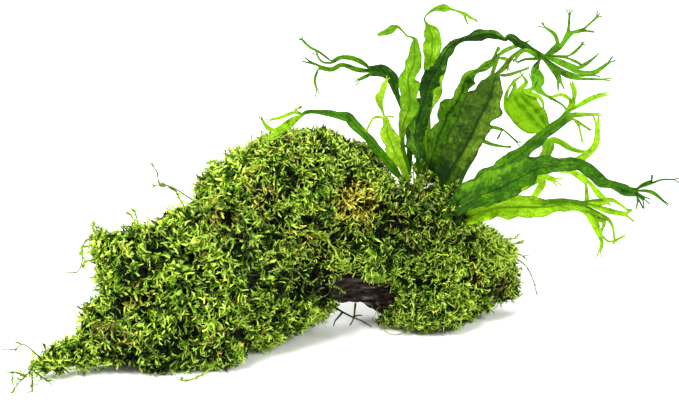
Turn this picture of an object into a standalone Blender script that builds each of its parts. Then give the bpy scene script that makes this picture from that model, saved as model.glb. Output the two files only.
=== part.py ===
# Java fern growing on a moss-covered piece of driftwood

# Places are (across, up, back) in millimetres, as seen from the front by a raised eye.
# The function place turns them into metres with +Z up. The origin is on the ground, under the
# middle of the whole plant.

import math

import bmesh
import bpy
from mathutils import Matrix, Vector, noise

MM = 0.001
GAP = 0.3
EYE_ANGLE = math.radians(18)
EYE_DISTANCE = 900
EYE_TARGET = Vector((-1, 0, 57))
EYE_TARGET_SEEN = Vector((-1, 54.2))
FOOTPRINT_CENTRE = Vector((0.9, -6.4, 0))

# The wood: a bent trunk as (across, up, back, radius), with its knots and surface
WOOD_TRUNK = [
    (-93, -2, -34, 8), (-82, 0, -30, 12), (-70, 4, -24, 15), (-55, 14, -18, 15), (-40, 24, -12, 14),
    (-26, 29, -6, 12), (-13, 26, 0, 11), (-3, 23, 4, 9.5), (6, 23, 8, 9), (14, 21, 12, 9), (22, 17, 15, 10),
    (31, 14, 18, 11), (43, 14, 22, 11), (53, 17, 26, 9),
]
WOOD_KNOTS = [(-4, 21, -2, 4.5), (15, 18, 6, 4), (-15, 26, -6, 5)]
WOOD_KNOT_FINENESS = 2
WOOD_SIDES = 20
WOOD_ROWS_BETWEEN = 2
WOOD_ROUGHNESS = 0.16
WOOD_LUMP_SIZE = 14
WOOD_LUMP_HEIGHT = 1.6
WOOD_GRAIN_LENGTH = 22
WOOD_GRAIN_WIDTH = 4
WOOD_GRAIN_HEIGHT = 1.0
WOOD_VOXEL = 1.3
WOOD_SMOOTHING = 3
WOOD_TRIANGLES = 900

# The moss: the cushions that it grew in, as (across, up, back, radius, depth over radius)
MOSS_CUSHIONS = [
    (-120, -12, -48, 4, 1), (-113.5, -9, -45, 6, 1), (-105, -6, -41, 8, 1), (-91, 3, -35, 14, 0.9),
    (-84.5, 25, -30, 13.5, 0.9), (-95, 35, -30, 7.5, 0.9), (-80, 38, -25, 10, 0.8), (-69, 15, -24, 25, 0.8),
    (-72, 0, -33, 15, 1), (-62, -2, -32, 14, 1), (-50, 1, -29, 16, 1), (-34, 8, -16, 14, 1),
    (-22, 12, -7, 12, 1), (-12, 16, 0, 12, 1), (-63, 39, -21, 15.5, 0.8), (-45, 25, -14, 29, 0.75),
    (-41, 54, -8, 20, 0.75), (-37, 62, -4, 15, 0.8), (-21, 60, 0, 25, 0.75), (-9, 67, 3, 18, 0.75),
    (2, 66, 4, 14.5, 0.8), (2, 59, 6, 19, 0.8), (-25, 24, -2, 23, 0.8), (3, 40, 8, 19, 0.75),
    (-4, 34, 2, 12, 1), (12, 33, 5, 12, 1), (25, 22, 8, 9, 1), (17, 50, 9, 13, 0.9), (25, 45, 12, 15, 0.8),
    (35, 39, 13, 15, 0.8), (34, 51, 5, 10, 0.8), (44, 49, 7, 10, 0.8), (35, 27, 19, 20, 0.8),
    (49, 29, 24, 20, 0.8), (60, 26, 27, 13, 0.8), (29, 11.5, 3, 11, 1), (41, 12.5, 6, 12, 1),
    (53, 20, 18, 10.5, 1), (62, 25, 26, 9.5, 1), (65, 20, 26, 7.5, 1), (66, 33.5, 29, 6, 1),
    (-38, 42, 12, 20, 0.8), (-10, 42, 20, 20, 0.8), (13, 34, 24, 14, 0.8), (18, 8, 6, 5.5, 1),
]
MOSS_CUSHION_FINENESS = 3
MOSS_VOXEL = 1.6
MOSS_SMOOTHING = 6
MOSS_LUMP_SIZE = 17
MOSS_LUMP_HEIGHT = 2.6
MOSS_TUFT_SIZE = 6
MOSS_TUFT_HEIGHT = 1.5
MOSS_TRIANGLES = 1880

# How the swellings of a rough stem change from ring to ring and round it
SWELL_PACE = 0.45
SWELL_SIZE = 1.7

RHIZOME = [
    (23, 62, 11, 1.3), (29, 59, 9, 2.2), (35, 55, 7, 2.4), (41, 51, 6, 2.3), (46, 49, 6, 2), (50, 47, 7, 1.2),
]
RHIZOME_SIDES = 8
RHIZOME_ROWS_BETWEEN = 1
RHIZOME_ROUGHNESS = 0.3

# The runners: routes of (across, up, back, radius)
RUNNER_SIDES = 5
RUNNER_ROWS_BETWEEN = 1
RUNNERS = {
    "runner_left": [
        (-114, -9, -45, 0.6), (-119, -9, -48, 0.7), (-123, -11, -51, 0.9), (-125, -15, -55, 1.7),
        (-128, -18, -59, 1.7), (-130, -20, -61, 0.8),
    ],
    "runner_top": [
        (-62, 56, -18, 0.5), (-68, 60, -19, 0.5), (-73, 61, -20, 0.7), (-74, 66, -21, 0.5),
        (-77, 70, -22, 0.4),
    ],
    "runner_side": [
        (-100, 40, -30, 0.5), (-103, 38, -31, 0.5), (-104, 30, -33, 0.4), (-106, 26, -34, 0.4),
        (-110, 25, -35, 0.4),
    ],
    "runner_right": [(69, 32, 29, 0.5), (73, 29, 29, 0.5), (76, 24, 30, 0.4), (77, 17, 31, 0.4)],
}

# The fronds: a route of (across, up, back, half width), then what its end forks into.
# A fork is a list of branches of the same kind, or a number of small tips.
FROND_THICKNESS = 0.7
FROND_FOLD = 0.18
FROND_ROWS_BETWEEN = 1
FROND_CLOSE_POINTS = 13
CREST_ROWS_BETWEEN = 0
TIP_LENGTH = 3.4
TIP_HALF_WIDTH = 0.3
TIP_SPREAD = math.radians(38)
FRONDS = {
    "frond_tall_arching": (
        [(31, 61, 7, 1.6), (31, 70, 5, 2.9), (29.6, 77, 4, 3.5), (29.2, 82, 3, 3.9), (30.2, 87, 2, 4.3),
         (31.4, 91, 1, 4), (32.8, 95, 0, 2.9), (33.6, 99, -1.5, 2.9), (35.6, 103.5, -4, 3.5),
         (38.6, 107.5, -7, 3.3), (40.2, 111, -8.5, 2.2), (42, 114.6, -9.5, 2), (44.5, 117, -10.5, 1.7),
         (48, 119, -12, 1.1), (52, 120, -14, 1.5),
         (56, 121, -16, 2.1), (60, 121, -18, 2.1), (63, 120, -19, 1.4), (65, 119, -19, 1),
         (67, 120, -20, 1.8), (70, 118, -20, 1.7), (73, 116.6, -21, 1.1), (76, 114.8, -22, 0.8),
         (80, 112, -22, 1.3)],
        [
            ([(77, 113, -24, 0.9), (74, 114.6, -25, 0.8), (71.4, 113.8, -25, 0.7), (69.4, 111, -25, 0.4)], 0),
            ([(77, 111.2, -24, 0.7), (73.8, 111.2, -24, 0.5), (71, 110.2, -24, 0.4)], 0),
            ([(84, 114, -24, 1.4), (87, 117, -26, 1.7)], [
                ([(85, 121, -29, 0.8), (81, 124, -30, 0.4)], 0),
                ([(91, 122, -27, 1.3)], [
                    ([(91, 129, -29, 0.4)], 0),
                    ([(97, 123, -27, 0.9)], [([(102, 128, -27, 0.4)], 0), ([(101, 122, -28, 0.4)], 0)]),
                ]),
            ]),
            ([(90, 112, -21, 0.8)], [
                ([(93, 114, -20, 0.6), (96, 117, -19, 0.4)], 0),
                ([(94, 110, -20, 0.6)], 1),
            ]),
            ([(87, 110, -24, 1.3), (94, 107, -26, 1.4)], [
                ([(97, 109, -28, 0.9), (100, 111, -29, 0.5)], 1),
                ([(101, 106, -27, 0.9), (107, 110, -29, 0.5)], 0),
            ]),
            ([(88, 106, -19, 1.3), (94, 104, -18, 1.2)], [
                ([(101, 105, -17, 0.6)], 0),
                ([(105, 103, -19, 0.4)], 0),
            ]),
            ([(86, 105, -22, 1.2), (87, 102, -22, 0.9)], 2),
            ([(77, 107, -25, 1.7), (79, 103, -27, 2.6), (78, 100, -28, 1.8), (81, 97, -29, 0.6)], [
                ([(88, 93, -30, 0.4), (90, 90, -31, 0.3)], 0),
            ]),
        ]),
    "frond_upright_left": (
        [(27.4, 63.5, 10, 0.8), (25.6, 70, 8, 1), (24.2, 77, 4, 1.1), (24.2, 83, 0, 1.4),
         (25.4, 87.5, -3.5, 2.7), (27, 92, -5.5, 3.8), (27, 97.5, -6, 3.7), (26.4, 103, -5, 3.7),
         (28, 107, -4, 3), (29, 110.5, -3, 2.9), (28.9, 114, -2, 2.6), (29.1, 117, -1, 1.5),
         (29, 119, 0, 0.8), (27.6, 120, 0, 0.4), (26, 120.4, 0, 0.4), (24, 122.6, 0, 0.4),
         (22, 124, 0, 0.8), (20, 123, 0, 1.6), (18, 122, 0, 1.1), (15, 121, 0, 0.8), (14, 121, 0, 0.4)],
        0),
    "frond_upright_back": (
        [(33, 60, 11, 1.1), (33, 76, 15, 2.2), (33, 88, 18, 2.5), (34, 93, 20, 2.7), (36, 97, 21, 3.2),
         (37, 102, 23, 3.4), (37, 106, 24, 3.4), (35, 109, 25, 2.9), (36, 113, 25, 3.2), (36, 117, 26, 3.8),
         (36, 120, 27, 3.5), (35, 123, 28, 2.4), (34, 125, 28, 0.8), (33, 127, 28, 0.4), (34, 129, 28, 0.4),
         (37, 131, 28, 0.9), (40, 131.5, 28, 1.5), (42, 131.5, 28, 1.4), (44, 131, 28, 0.5),
         (47, 130, 28, 0.5),
         (49, 129, 28, 0.8)],
        [([(51, 128, 28, 0.7), (53, 127, 28, 0.4)], 0), ([(49.5, 127, 27, 0.4), (50.5, 125, 27, 0.4)], 0)]),
    "frond_left_arching": (
        [(27, 64, 13, 0.8), (27, 76, 16, 1.2), (26, 86, 20, 1.1), (24, 92, 22, 0.9), (22, 97, 24, 1),
         (21, 100, 25, 1.7), (20, 104, 26, 2.6), (17, 106, 27, 2.5), (14, 106.5, 28, 2.3),
         (11, 106.5, 29, 2.3)],
        [
            ([(9, 104, 28, 0.8), (7, 103, 28, 0.5)], 0),
            ([(6, 107, 30, 1.1), (0, 109, 30, 0.9), (-4, 107, 30, 1), (-9, 108, 30, 1)], [
                ([(-11, 103, 29, 0.6), (-10, 99, 28, 0.4)], 0),
                ([(-13, 110, 31, 0.7)], 2),
            ]),
            ([(6, 111, 28, 1.1), (0, 112, 27, 0.9), (-4, 110, 27, 0.8)], [
                ([(-8, 110, 26, 0.5), (-10, 113, 26, 0.4)], 0),
                ([(-9, 114, 28, 0.5), (-13, 116, 28, 0.5), (-16, 119, 29, 0.5)], 0),
            ]),
        ]),
    "frond_young_left": (
        [(27, 62, 3, 0.9), (25, 66, -1, 1.3), (23, 70, -5, 2), (21, 74, -7, 2.8), (19, 79, -9, 3.6),
         (18, 82, -9, 3), (18, 85, -10, 1.4), (17, 88, -10, 1)],
        [
            ([(14, 88, -9, 0.6), (12, 87, -8, 0.4), (10, 83, -7, 0.4)], 0),
            ([(16, 91, -11, 0.6), (15, 94, -12, 1.4), (15, 96, -12, 1.8), (16, 98, -12, 1.1),
              (17, 101, -12, 1.2), (18, 103, -12, 0.5)], 0),
            ([(21, 88, -12, 0.4)], 0),
        ]),
    "frond_over_moss": (
        [(24, 63, 8, 0.9), (20, 68, 5, 1.8), (15, 74, 1, 1.8), (10, 80, -2, 1.6), (5, 85, -3, 1.9),
         (2, 88, -4, 2), (-3, 89, -5, 1.4), (-9, 90, -7, 1), (-14, 90, -8, 0.7), (-16, 89, -9, 0.8)],
        [
            ([(-19, 87, -11, 1.4), (-23, 84, -14, 1.8), (-27, 82, -17, 1.4)], [
                ([(-30, 84, -18, 0.9), (-32, 87, -18, 0.4)], 0),
                ([(-30, 79, -20, 0.6)], 0),
            ]),
            ([(-19, 90, -12, 0.6), (-24, 88, -13, 0.7), (-28, 87, -14, 0.4)], 0),
        ]),
    "frond_broad_back": (
        [(33, 61, 9, 1.3), (35, 67, 10, 3), (37.2, 74, 11, 3.9), (39.4, 80.5, 12, 4.7), (41.4, 85, 12, 4.3),
         (43.4, 89.5, 13, 5.3), (46.6, 93.5, 13, 4.4), (48.4, 98, 13, 3), (49.6, 101.6, 13, 2.8),
         (51.4, 104.4, 12.5, 2.3), (54.2, 106.4, 12, 1.2),
         (57, 108, 12, 1.5), (60, 109.5, 11, 1.6), (62, 112, 10, 1.3)],
        [
            ([(63, 116, 9, 0.8)], 0),
            ([(66, 115, 8, 0.9), (72, 117, 5, 0.7)], 1),
            ([(66, 111, 9, 0.8), (66, 108, 7, 0.7)], 0),
        ]),
    "frond_broad_front": (
        [(39, 57, 4, 1.6), (41, 63, 2, 4.1), (43.4, 68, 0, 5.3), (45.8, 72.5, -2, 6), (48.4, 77, -5, 6.4),
         (50.9, 82, -7, 6.7), (53.2, 87.4, -9, 7.1), (55.8, 92.4, -11, 7.3), (58.2, 97, -12, 6.6),
         (59.8, 101.4, -13, 4.2),
         (61, 105, -14, 2)],
        [
            ([(62, 111, -15, 0.8)], 0),
            ([(65, 108, -14, 1.1), (68, 112, -14, 0.8), (72, 115, -14, 0.6)], 0),
            ([(67, 105, -14, 0.7), (73, 107, -16, 0.4)], 0),
        ]),
    "frond_antlered": (
        [(43, 52, 9, 0.9), (49, 57, 13, 2.6), (56, 62.4, 18, 3.6), (64, 67.6, 22, 3.8), (71.4, 73, 26, 2.9),
         (78, 78.6, 29, 2.3), (85, 84, 33, 2), (91, 89, 35, 2.2)],
        [
            ([(92, 93, 35, 1.4), (92, 95, 35, 1.5)], [
                ([(88, 97, 34, 0.8), (84, 96, 32, 0.5)], 0),
                ([(93, 98, 35, 1.1), (92, 101, 35, 0.9)], 0),
            ]),
            ([(97, 94, 36, 1.1), (101, 96, 38, 1), (105, 97, 39, 0.9)], 0),
            ([(97, 89, 37, 0.9), (102, 89, 38, 0.6)], 0),
            ([(95, 85, 35, 1.1)], [([(99, 83, 36, 0.5)], 0), ([(96, 79, 33, 0.4)], 0)]),
        ]),
    "frond_long_right": (
        [(39, 48, 2, 1.2), (46, 53, -4, 4.4), (54, 58, -9, 6.2), (62, 61, -14, 6.8), (70, 65, -18, 6),
         (78, 68.4, -21, 4.2), (87, 69.2, -24, 2.7), (94, 69, -26, 2.5), (99, 66.6, -27, 2.5),
         (104, 62, -28, 2.2), (109, 60.6, -29, 1.7), (113.5, 58.6, -29, 2.2), (118, 58, -30, 1.8)],
        [
            ([(121, 61, -31, 1), (124, 62, -32, 0.9)], [
                ([(124, 65, -32, 0.4)], 0),
                ([(128, 63, -34, 0.4), (133, 63, -35, 0.3)], 0),
            ]),
            ([(124, 58, -31, 0.8), (129, 54, -33, 0.4)], 0),
            ([(120.6, 55.4, -29, 1)], 3),
            ([(118.4, 54.6, -27, 0.8)], 2),
        ]),
    "frond_low_right": (
        [(46, 47, 3, 1.2), (53, 49, -2, 4), (61, 51.5, -6, 4.4), (69, 52, -9, 4.5), (75, 52, -11, 4.2),
         (82, 52, -12, 3.3), (89, 53, -13, 2.3), (97, 52, -14, 2.6)],
        [
            ([(104, 54, -15, 1.6), (108, 55, -16, 0.8), (114, 51, -18, 0.4)], 0),
            ([(105, 51, -16, 1.2), (109, 50, -17, 1.1), (114, 49, -18, 1)], [
                ([(116, 51, -19, 0.4)], 0),
                ([(117, 46, -18, 0.4)], 0),
            ]),
            ([(105, 48, -12, 0.9), (108, 45, -12, 0.6), (109, 39, -12, 0.4)], 0),
            ([(103, 47, -13, 0.9), (105, 46, -13, 0.8), (104, 43, -13, 0.5)], 0),
            ([(100, 48, -14, 2), (103, 41, -14, 1.1)], [
                ([(107, 38, -15, 0.5), (112, 40, -16, 0.4)], 0),
                ([(104, 38, -14, 0.8), (103.2, 34.4, -13, 0.6)], 2),
            ]),
        ]),
    "frond_rounded_back": (
        [(45, 50, 10, 1), (56, 56, 18, 1.4), (68, 62, 26, 1.8), (78, 68, 33, 2.2), (82, 74, 38, 2.4),
         (82.5, 79, 41, 2.4)],
        [
            ([(80.5, 83, 43, 3.6), (77, 87, 45, 6.2), (73.5, 91, 46.5, 6.8), (70.5, 94.5, 47, 5.4),
              (68, 97.5, 47, 3)], [
                ([(65, 98, 46, 0.5)], 0),
                ([(68, 101, 48, 0.8)], 1),
                ([(72, 100, 47, 0.9)], 1),
                ([(76, 98, 45, 0.9), (79, 95, 44, 0.7)], 1),
            ]),
            ([(87, 78, 42, 1.3), (92, 75, 44, 1.1), (97, 74, 46, 0.7)], 0),
        ]),
    "frond_slender_right": (
        [(47, 47, 10, 1), (59, 53, 13, 1.5), (70, 59, 14, 1.8), (80, 65, 14, 2.2)],
        [
            ([(87, 69, 16, 1.2), (95, 71, 17, 1.5), (100, 75, 19, 1.4), (102, 79, 20, 1.2),
              (102, 86, 21, 1)], 2),
            ([(89, 67, 11, 1.3), (94, 65, 9, 1.3), (98, 62, 7, 1.3)], [
                ([(102, 58, 6, 1.2), (105, 55, 6, 1)], 1),
                ([(98, 55, 6, 0.9)], 0),
            ]),
            ([(85, 62.6, 12, 1.2)], 3),
            ([(80, 61, 13, 1.6), (76, 55, 12, 0.9)], 0),
        ]),
    "frond_slender_back": (
        [(42, 51, 11, 0.8), (47, 63, 17, 1.4), (52, 73, 22, 1.7), (55, 79, 25, 1.4)],
        [
            ([(58, 84, 27, 0.8), (64, 83, 29, 0.7)], [
                ([(70, 78, 30, 0.4)], 0),
                ([(62, 79, 29, 0.4)], 0),
            ]),
            ([(60, 77, 26, 0.7), (66, 76, 28, 0.4)], 0),
        ]),
}
# How far each blade turns about its own length, in degrees, from its root to its end
FROND_TWIST = {
    "frond_tall_arching": (25, 20),
    "frond_upright_left": (-20, 25),
    "frond_upright_back": (30, -25),
    "frond_left_arching": (15, -20),
    "frond_young_left": (10, 15),
    "frond_over_moss": (15, -20),
    "frond_broad_back": (20, -20),
    "frond_broad_front": (-20, 15),
    "frond_antlered": (20, 0),
    "frond_long_right": (20, -5),
    "frond_low_right": (-20, 15),
    "frond_rounded_back": (10, -20),
    "frond_slender_right": (20, 0),
    "frond_slender_back": (15, 0),
}

# A block of ground, wider than the plant, that cuts it flat where it rests, in metres
GROUND_WIDTH = 0.8
GROUND_DEPTH = 0.2

# Colours as (red, green, blue, roughness)
WOOD_COLOUR = (0.055, 0.028, 0.022, 0.7)
MOSS_COLOUR = (0.075, 0.13, 0.02, 0.75)
RHIZOME_COLOUR = (0.09, 0.1, 0.03, 0.6)
RUNNER_COLOUR = (0.13, 0.13, 0.03, 0.7)
DARK_LEAF_COLOUR = (0.09, 0.16, 0.03, 0.42)
LIME_LEAF_COLOUR = (0.25, 0.36, 0.05, 0.42)
LIME_FRONDS = [
    "frond_upright_left", "frond_upright_back", "frond_young_left", "frond_over_moss", "frond_low_right",
    "frond_rounded_back", "frond_slender_right",
]


def place(across, up, back):
    """Turn a place seen by the raised eye into a point in metres."""
    forward = Vector((0, math.cos(EYE_ANGLE), -math.sin(EYE_ANGLE)))
    upward = Vector((0, math.sin(EYE_ANGLE), math.cos(EYE_ANGLE)))
    eye = EYE_TARGET - forward * EYE_DISTANCE
    sight = forward * EYE_DISTANCE
    sight += Vector((1, 0, 0)) * (across - EYE_TARGET_SEEN.x)
    sight += upward * (up - EYE_TARGET_SEEN.y)
    reach = (back - eye.y) / sight.y
    return (eye + sight * reach - FOOTPRINT_CENTRE) * MM


def clear_scene():
    for item in list(bpy.data.objects):
        bpy.data.objects.remove(item, do_unlink=True)


def make_material(name, colour):
    material = bpy.data.materials.new(name)
    material.use_nodes = True
    shader = material.node_tree.nodes["Principled BSDF"]
    shader.inputs["Base Color"].default_value = (*colour[:3], 1)
    shader.inputs["Roughness"].default_value = colour[3]
    shader.inputs["Metallic"].default_value = 0
    return material


def add_object(name, shape, colour=None):
    """Make an object of a bmesh, with its own material when it has a colour."""
    mesh = bpy.data.meshes.new(name)
    bmesh.ops.recalc_face_normals(shape, faces=shape.faces)
    shape.to_mesh(mesh)
    shape.free()
    item = bpy.data.objects.new(name, mesh)
    bpy.context.collection.objects.link(item)
    if colour:
        mesh.materials.append(make_material(name, colour))
    return item


def hide_guide(item):
    item.hide_render = True
    item.display_type = "WIRE"


def evaluated_mesh(item):
    """The mesh that an object's modifiers make of it."""
    graph = bpy.context.evaluated_depsgraph_get()
    return bpy.data.meshes.new_from_object(item.evaluated_get(graph))


def cut_away(item, cutter):
    cut = item.modifiers.new("cut " + cutter.name, "BOOLEAN")
    cut.operation = "DIFFERENCE"
    cut.solver = "EXACT"
    cut.object = cutter


def smooth_route(points, rows_between):
    """A Catmull-Rom curve through the points, which keeps each of them."""
    ends = [points[0]] + list(points) + [points[-1]]
    route = []
    for index in range(len(points) - 1):
        before, start, end, after = (Vector(point) for point in ends[index:index + 4])
        for row in range(rows_between + 1):
            t = row / (rows_between + 1)
            bend = (end - before) * t + (2 * before - 5 * start + 4 * end - after) * t ** 2
            bend += (3 * start - before - 3 * end + after) * t ** 3
            route.append(start + bend / 2)
    route.append(Vector(points[-1]))
    return route


def direction_at(route, index):
    before = route[max(index - 1, 0)]
    after = route[min(index + 1, len(route) - 1)]
    return (after - before).normalized()


# Lofted tubes

def ring_turn(direction):
    """The turn that lays a ring square to a direction, with its first axis level."""
    side = Vector((direction.y, -direction.x, 0)).normalized()
    return Matrix((side, direction.cross(side), direction)).transposed()


def swollen(outward, index, roughness):
    """How far a rough stem swells or shrinks at one corner of one of its rings."""
    return 1 + roughness * noise.noise(Vector((outward.x, outward.y, index * SWELL_PACE)) * SWELL_SIZE)


def loft_tube(shape, points, sides, rows_between, roughness=0):
    """Extrude a ring along a route of (across, up, back, radius) and close both ends."""
    route = smooth_route(points, rows_between)
    centres = [place(*point[:3]) for point in route]
    ring = None
    for index, centre in enumerate(centres):
        turn = ring_turn(direction_at(centres, index))
        radius = route[index][3] * MM
        if ring is None:
            ring = bmesh.ops.create_circle(shape, segments=sides, radius=radius)["verts"]
            shape.faces.new(ring)
        else:
            edges = [shape.edges.get((ring[i], ring[(i + 1) % sides])) for i in range(sides)]
            grown = bmesh.ops.extrude_edge_only(shape, edges=edges)["geom"]
            fresh = [part for part in grown if isinstance(part, bmesh.types.BMVert)]
            ring = [min(fresh, key=lambda v: (v.co - old.co).length) for old in ring]
        for step, corner in enumerate(ring):
            angle = math.tau * step / sides
            outward = Vector((math.cos(angle), math.sin(angle), 0))
            corner.co = centre + turn @ (outward * radius * swollen(outward, index, roughness))
    shape.faces.new(ring)


# The driftwood

def wood_surface(point):
    """Height of the lumps and the long grain at a point of the bare wood, in millimetres."""
    lump = noise.noise(point / MM / WOOD_LUMP_SIZE) * WOOD_LUMP_HEIGHT
    grain = Vector((point.x / WOOD_GRAIN_LENGTH, point.y / WOOD_GRAIN_WIDTH, point.z / WOOD_GRAIN_WIDTH))
    return lump + noise.noise(grain / MM) * WOOD_GRAIN_HEIGHT


def remeshed(item, voxel, smoothing):
    remesh = item.modifiers.new("remesh", "REMESH")
    remesh.mode = "VOXEL"
    remesh.voxel_size = voxel * MM
    if smoothing:
        smooth = item.modifiers.new("smooth", "SMOOTH")
        smooth.iterations = smoothing
    mesh = evaluated_mesh(item)
    bpy.data.objects.remove(item, do_unlink=True)
    return mesh


def with_surface(mesh, height):
    """Move each point of a mesh along its normal by height, in millimetres."""
    normals = [vertex.normal.copy() for vertex in mesh.vertices]
    for vertex, normal in zip(mesh.vertices, normals):
        vertex.co += normal * height(vertex.co) * MM
    return mesh


def thin_out(item, triangles):
    count = sum(len(face.vertices) - 2 for face in item.data.polygons)
    fewer = item.modifiers.new("fewer triangles", "DECIMATE")
    fewer.ratio = min(1, triangles / count)
    fewer.use_collapse_triangulate = True


def build_driftwood():
    shape = bmesh.new()
    loft_tube(shape, WOOD_TRUNK, WOOD_SIDES, WOOD_ROWS_BETWEEN, WOOD_ROUGHNESS)
    for across, up, back, radius in WOOD_KNOTS:
        knot = Matrix.Translation(place(across, up, back)) @ Matrix.Scale(radius * MM, 4)
        bmesh.ops.create_icosphere(shape, subdivisions=WOOD_KNOT_FINENESS, radius=1, matrix=knot)
    rough = add_object("wood rough", shape)
    mesh = with_surface(remeshed(rough, WOOD_VOXEL, WOOD_SMOOTHING), wood_surface)
    solid = bpy.data.objects.new("wood whole", mesh)
    bpy.context.collection.objects.link(solid)
    thin_out(solid, WOOD_TRIANGLES)
    thinned = evaluated_mesh(solid)
    bpy.data.objects.remove(solid, do_unlink=True)
    thinned.materials.clear()
    thinned.materials.append(make_material("driftwood", WOOD_COLOUR))
    driftwood = bpy.data.objects.new("driftwood", thinned)
    bpy.context.collection.objects.link(driftwood)
    return driftwood


# The moss

def moss_surface(point):
    """Height of the cushions and tufts at a point of the moss, in millimetres."""
    lumps = noise.noise(point / MM / MOSS_LUMP_SIZE) * MOSS_LUMP_HEIGHT
    return lumps + noise.noise(point / MM / MOSS_TUFT_SIZE) * MOSS_TUFT_HEIGHT


def build_moss():
    shape = bmesh.new()
    for across, up, back, radius, depth in MOSS_CUSHIONS:
        size = Matrix.Diagonal((radius * MM, radius * depth * MM, radius * MM, 1))
        cushion = Matrix.Translation(place(across, up, back)) @ size
        bmesh.ops.create_icosphere(shape, subdivisions=MOSS_CUSHION_FINENESS, radius=1, matrix=cushion)
    rough = add_object("moss rough", shape)
    mesh = with_surface(remeshed(rough, MOSS_VOXEL, MOSS_SMOOTHING), moss_surface)
    mesh.materials.clear()
    mesh.materials.append(make_material("moss_mat", MOSS_COLOUR))
    moss = bpy.data.objects.new("moss_mat", mesh)
    bpy.context.collection.objects.link(moss)
    thin_out(moss, MOSS_TRIANGLES)
    return moss


# The fern

def split_row(shape, row, wanted):
    """Cut the edges of a row of points until it has at least as many as wanted."""
    cuts = math.ceil(wanted / (len(row) - 1)) - 1
    finer = [row[0]]
    for start, end in zip(row, row[1:]):
        for left in range(cuts, 0, -1):
            _, start = bmesh.utils.edge_split(shape.edges.get((start, end)), start, 1 / (left + 1))
            finer.append(start)
        finer.append(end)
    return finer


def extrude_row(shape, row):
    edges = [shape.edges.get(pair) for pair in zip(row, row[1:])]
    grown = bmesh.ops.extrude_edge_only(shape, edges=edges)["geom"]
    fresh = [part for part in grown if isinstance(part, bmesh.types.BMVert)]
    return [min(fresh, key=lambda v: (v.co - old.co).length) for old in row]


def set_row(row, centre, direction, half_width, twist):
    """Lay a row of points across the blade, a little folded along its middle."""
    forward = Vector((0, math.cos(EYE_ANGLE), -math.sin(EYE_ANGLE)))
    turn = Matrix.Rotation(twist, 3, direction)
    side = turn @ forward.cross(direction).normalized()
    face = side.cross(direction)
    last = len(row) - 1
    for index, point in enumerate(row):
        across = 2 * index / last - 1
        fold = FROND_FOLD * abs(across) if last > 1 else 0
        point.co = centre + (side * across + face * fold) * half_width * MM


def seen_angle(start, end):
    return math.atan2(end[1] - start[1], end[0] - start[0])


def small_tips(end, heading, count):
    """Short branches that fan out from an end, as seen by the eye."""
    tips = []
    for index in range(count):
        angle = heading + TIP_SPREAD * ((count - 1) / 2 - index)
        across = end[0] + math.cos(angle) * TIP_LENGTH
        up = end[1] + math.sin(angle) * TIP_LENGTH
        tips.append(([(across, up, end[2], TIP_HALF_WIDTH)], 0))
    return tips


def grow_branch(shape, row, root, branch, twist, rows_between):
    """Extrude a row along a branch's route, then fork it into what grows from its end."""
    points, forks = branch
    if len(points) > FROND_CLOSE_POINTS:
        rows_between = 0
    route = smooth_route([(*root[:3], root[3])] + points, rows_between)
    centres = [place(*point[:3]) for point in route]
    for index in range(1, len(route)):
        row = extrude_row(shape, row)
        share = index / (len(route) - 1)
        angle = math.radians(twist[0] + (twist[1] - twist[0]) * share)
        set_row(row, centres[index], direction_at(centres, index), route[index][3], angle)
    heading = seen_angle(route[-2], route[-1])
    if isinstance(forks, int):
        forks = small_tips(points[-1], heading, forks)
    if not forks:
        return
    row = split_row(shape, row, len(forks))
    spare = len(row) - 1 - len(forks)

    def turn_left(fork):
        return math.remainder(seen_angle(points[-1], fork[0][0]) - heading, math.tau)

    start = 0
    for index, fork in enumerate(sorted(forks, key=turn_left, reverse=True)):
        edges = 1 + (spare if index == len(forks) // 2 else 0)
        part = row[start:start + edges + 1]
        grow_branch(shape, part, points[-1], fork, (twist[1], twist[1]), CREST_ROWS_BETWEEN)
        start += edges


def build_frond(name):
    points, forks = FRONDS[name]
    shape = bmesh.new()
    start = place(*points[0][:3])
    row = [shape.verts.new(start + Vector((step * MM, 0, 0))) for step in (-1, 0, 1)]
    for pair in zip(row, row[1:]):
        shape.edges.new(pair)
    twist = FROND_TWIST[name]
    set_row(row, start, (place(*points[1][:3]) - start).normalized(), points[0][3], math.radians(twist[0]))
    grow_branch(shape, row, points[0], (points[1:], forks), twist, FROND_ROWS_BETWEEN)
    colour = LIME_LEAF_COLOUR if name in LIME_FRONDS else DARK_LEAF_COLOUR
    frond = add_object(name, shape, colour)
    thickness = frond.modifiers.new("thickness", "SOLIDIFY")
    thickness.thickness = FROND_THICKNESS * MM
    thickness.offset = 0
    frond.data.shade_smooth()
    return frond


def build_rhizome():
    shape = bmesh.new()
    loft_tube(shape, RHIZOME, RHIZOME_SIDES, RHIZOME_ROWS_BETWEEN, RHIZOME_ROUGHNESS)
    return add_object("rhizome", shape, RHIZOME_COLOUR)


def build_runner(name):
    shape = bmesh.new()
    loft_tube(shape, RUNNERS[name], RUNNER_SIDES, RUNNER_ROWS_BETWEEN)
    return add_object(name, shape, RUNNER_COLOUR)


# The cutters that keep the pieces apart and flat on the ground

def grown_copy(item, name):
    """A cutter a little larger than an object, so that its neighbour stays clear of it."""
    cutter = bpy.data.objects.new(name, evaluated_mesh(item))
    bpy.context.collection.objects.link(cutter)
    with_surface(cutter.data, lambda point: GAP)
    hide_guide(cutter)
    return cutter


def build_ground_cutter():
    shape = bmesh.new()
    size = Matrix.Diagonal((GROUND_WIDTH, GROUND_WIDTH, GROUND_DEPTH, 1))
    block = Matrix.Translation((0, 0, -GROUND_DEPTH / 2)) @ size
    bmesh.ops.create_cube(shape, size=1, matrix=block)
    ground = add_object("ground cutter", shape)
    hide_guide(ground)
    return ground


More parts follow.
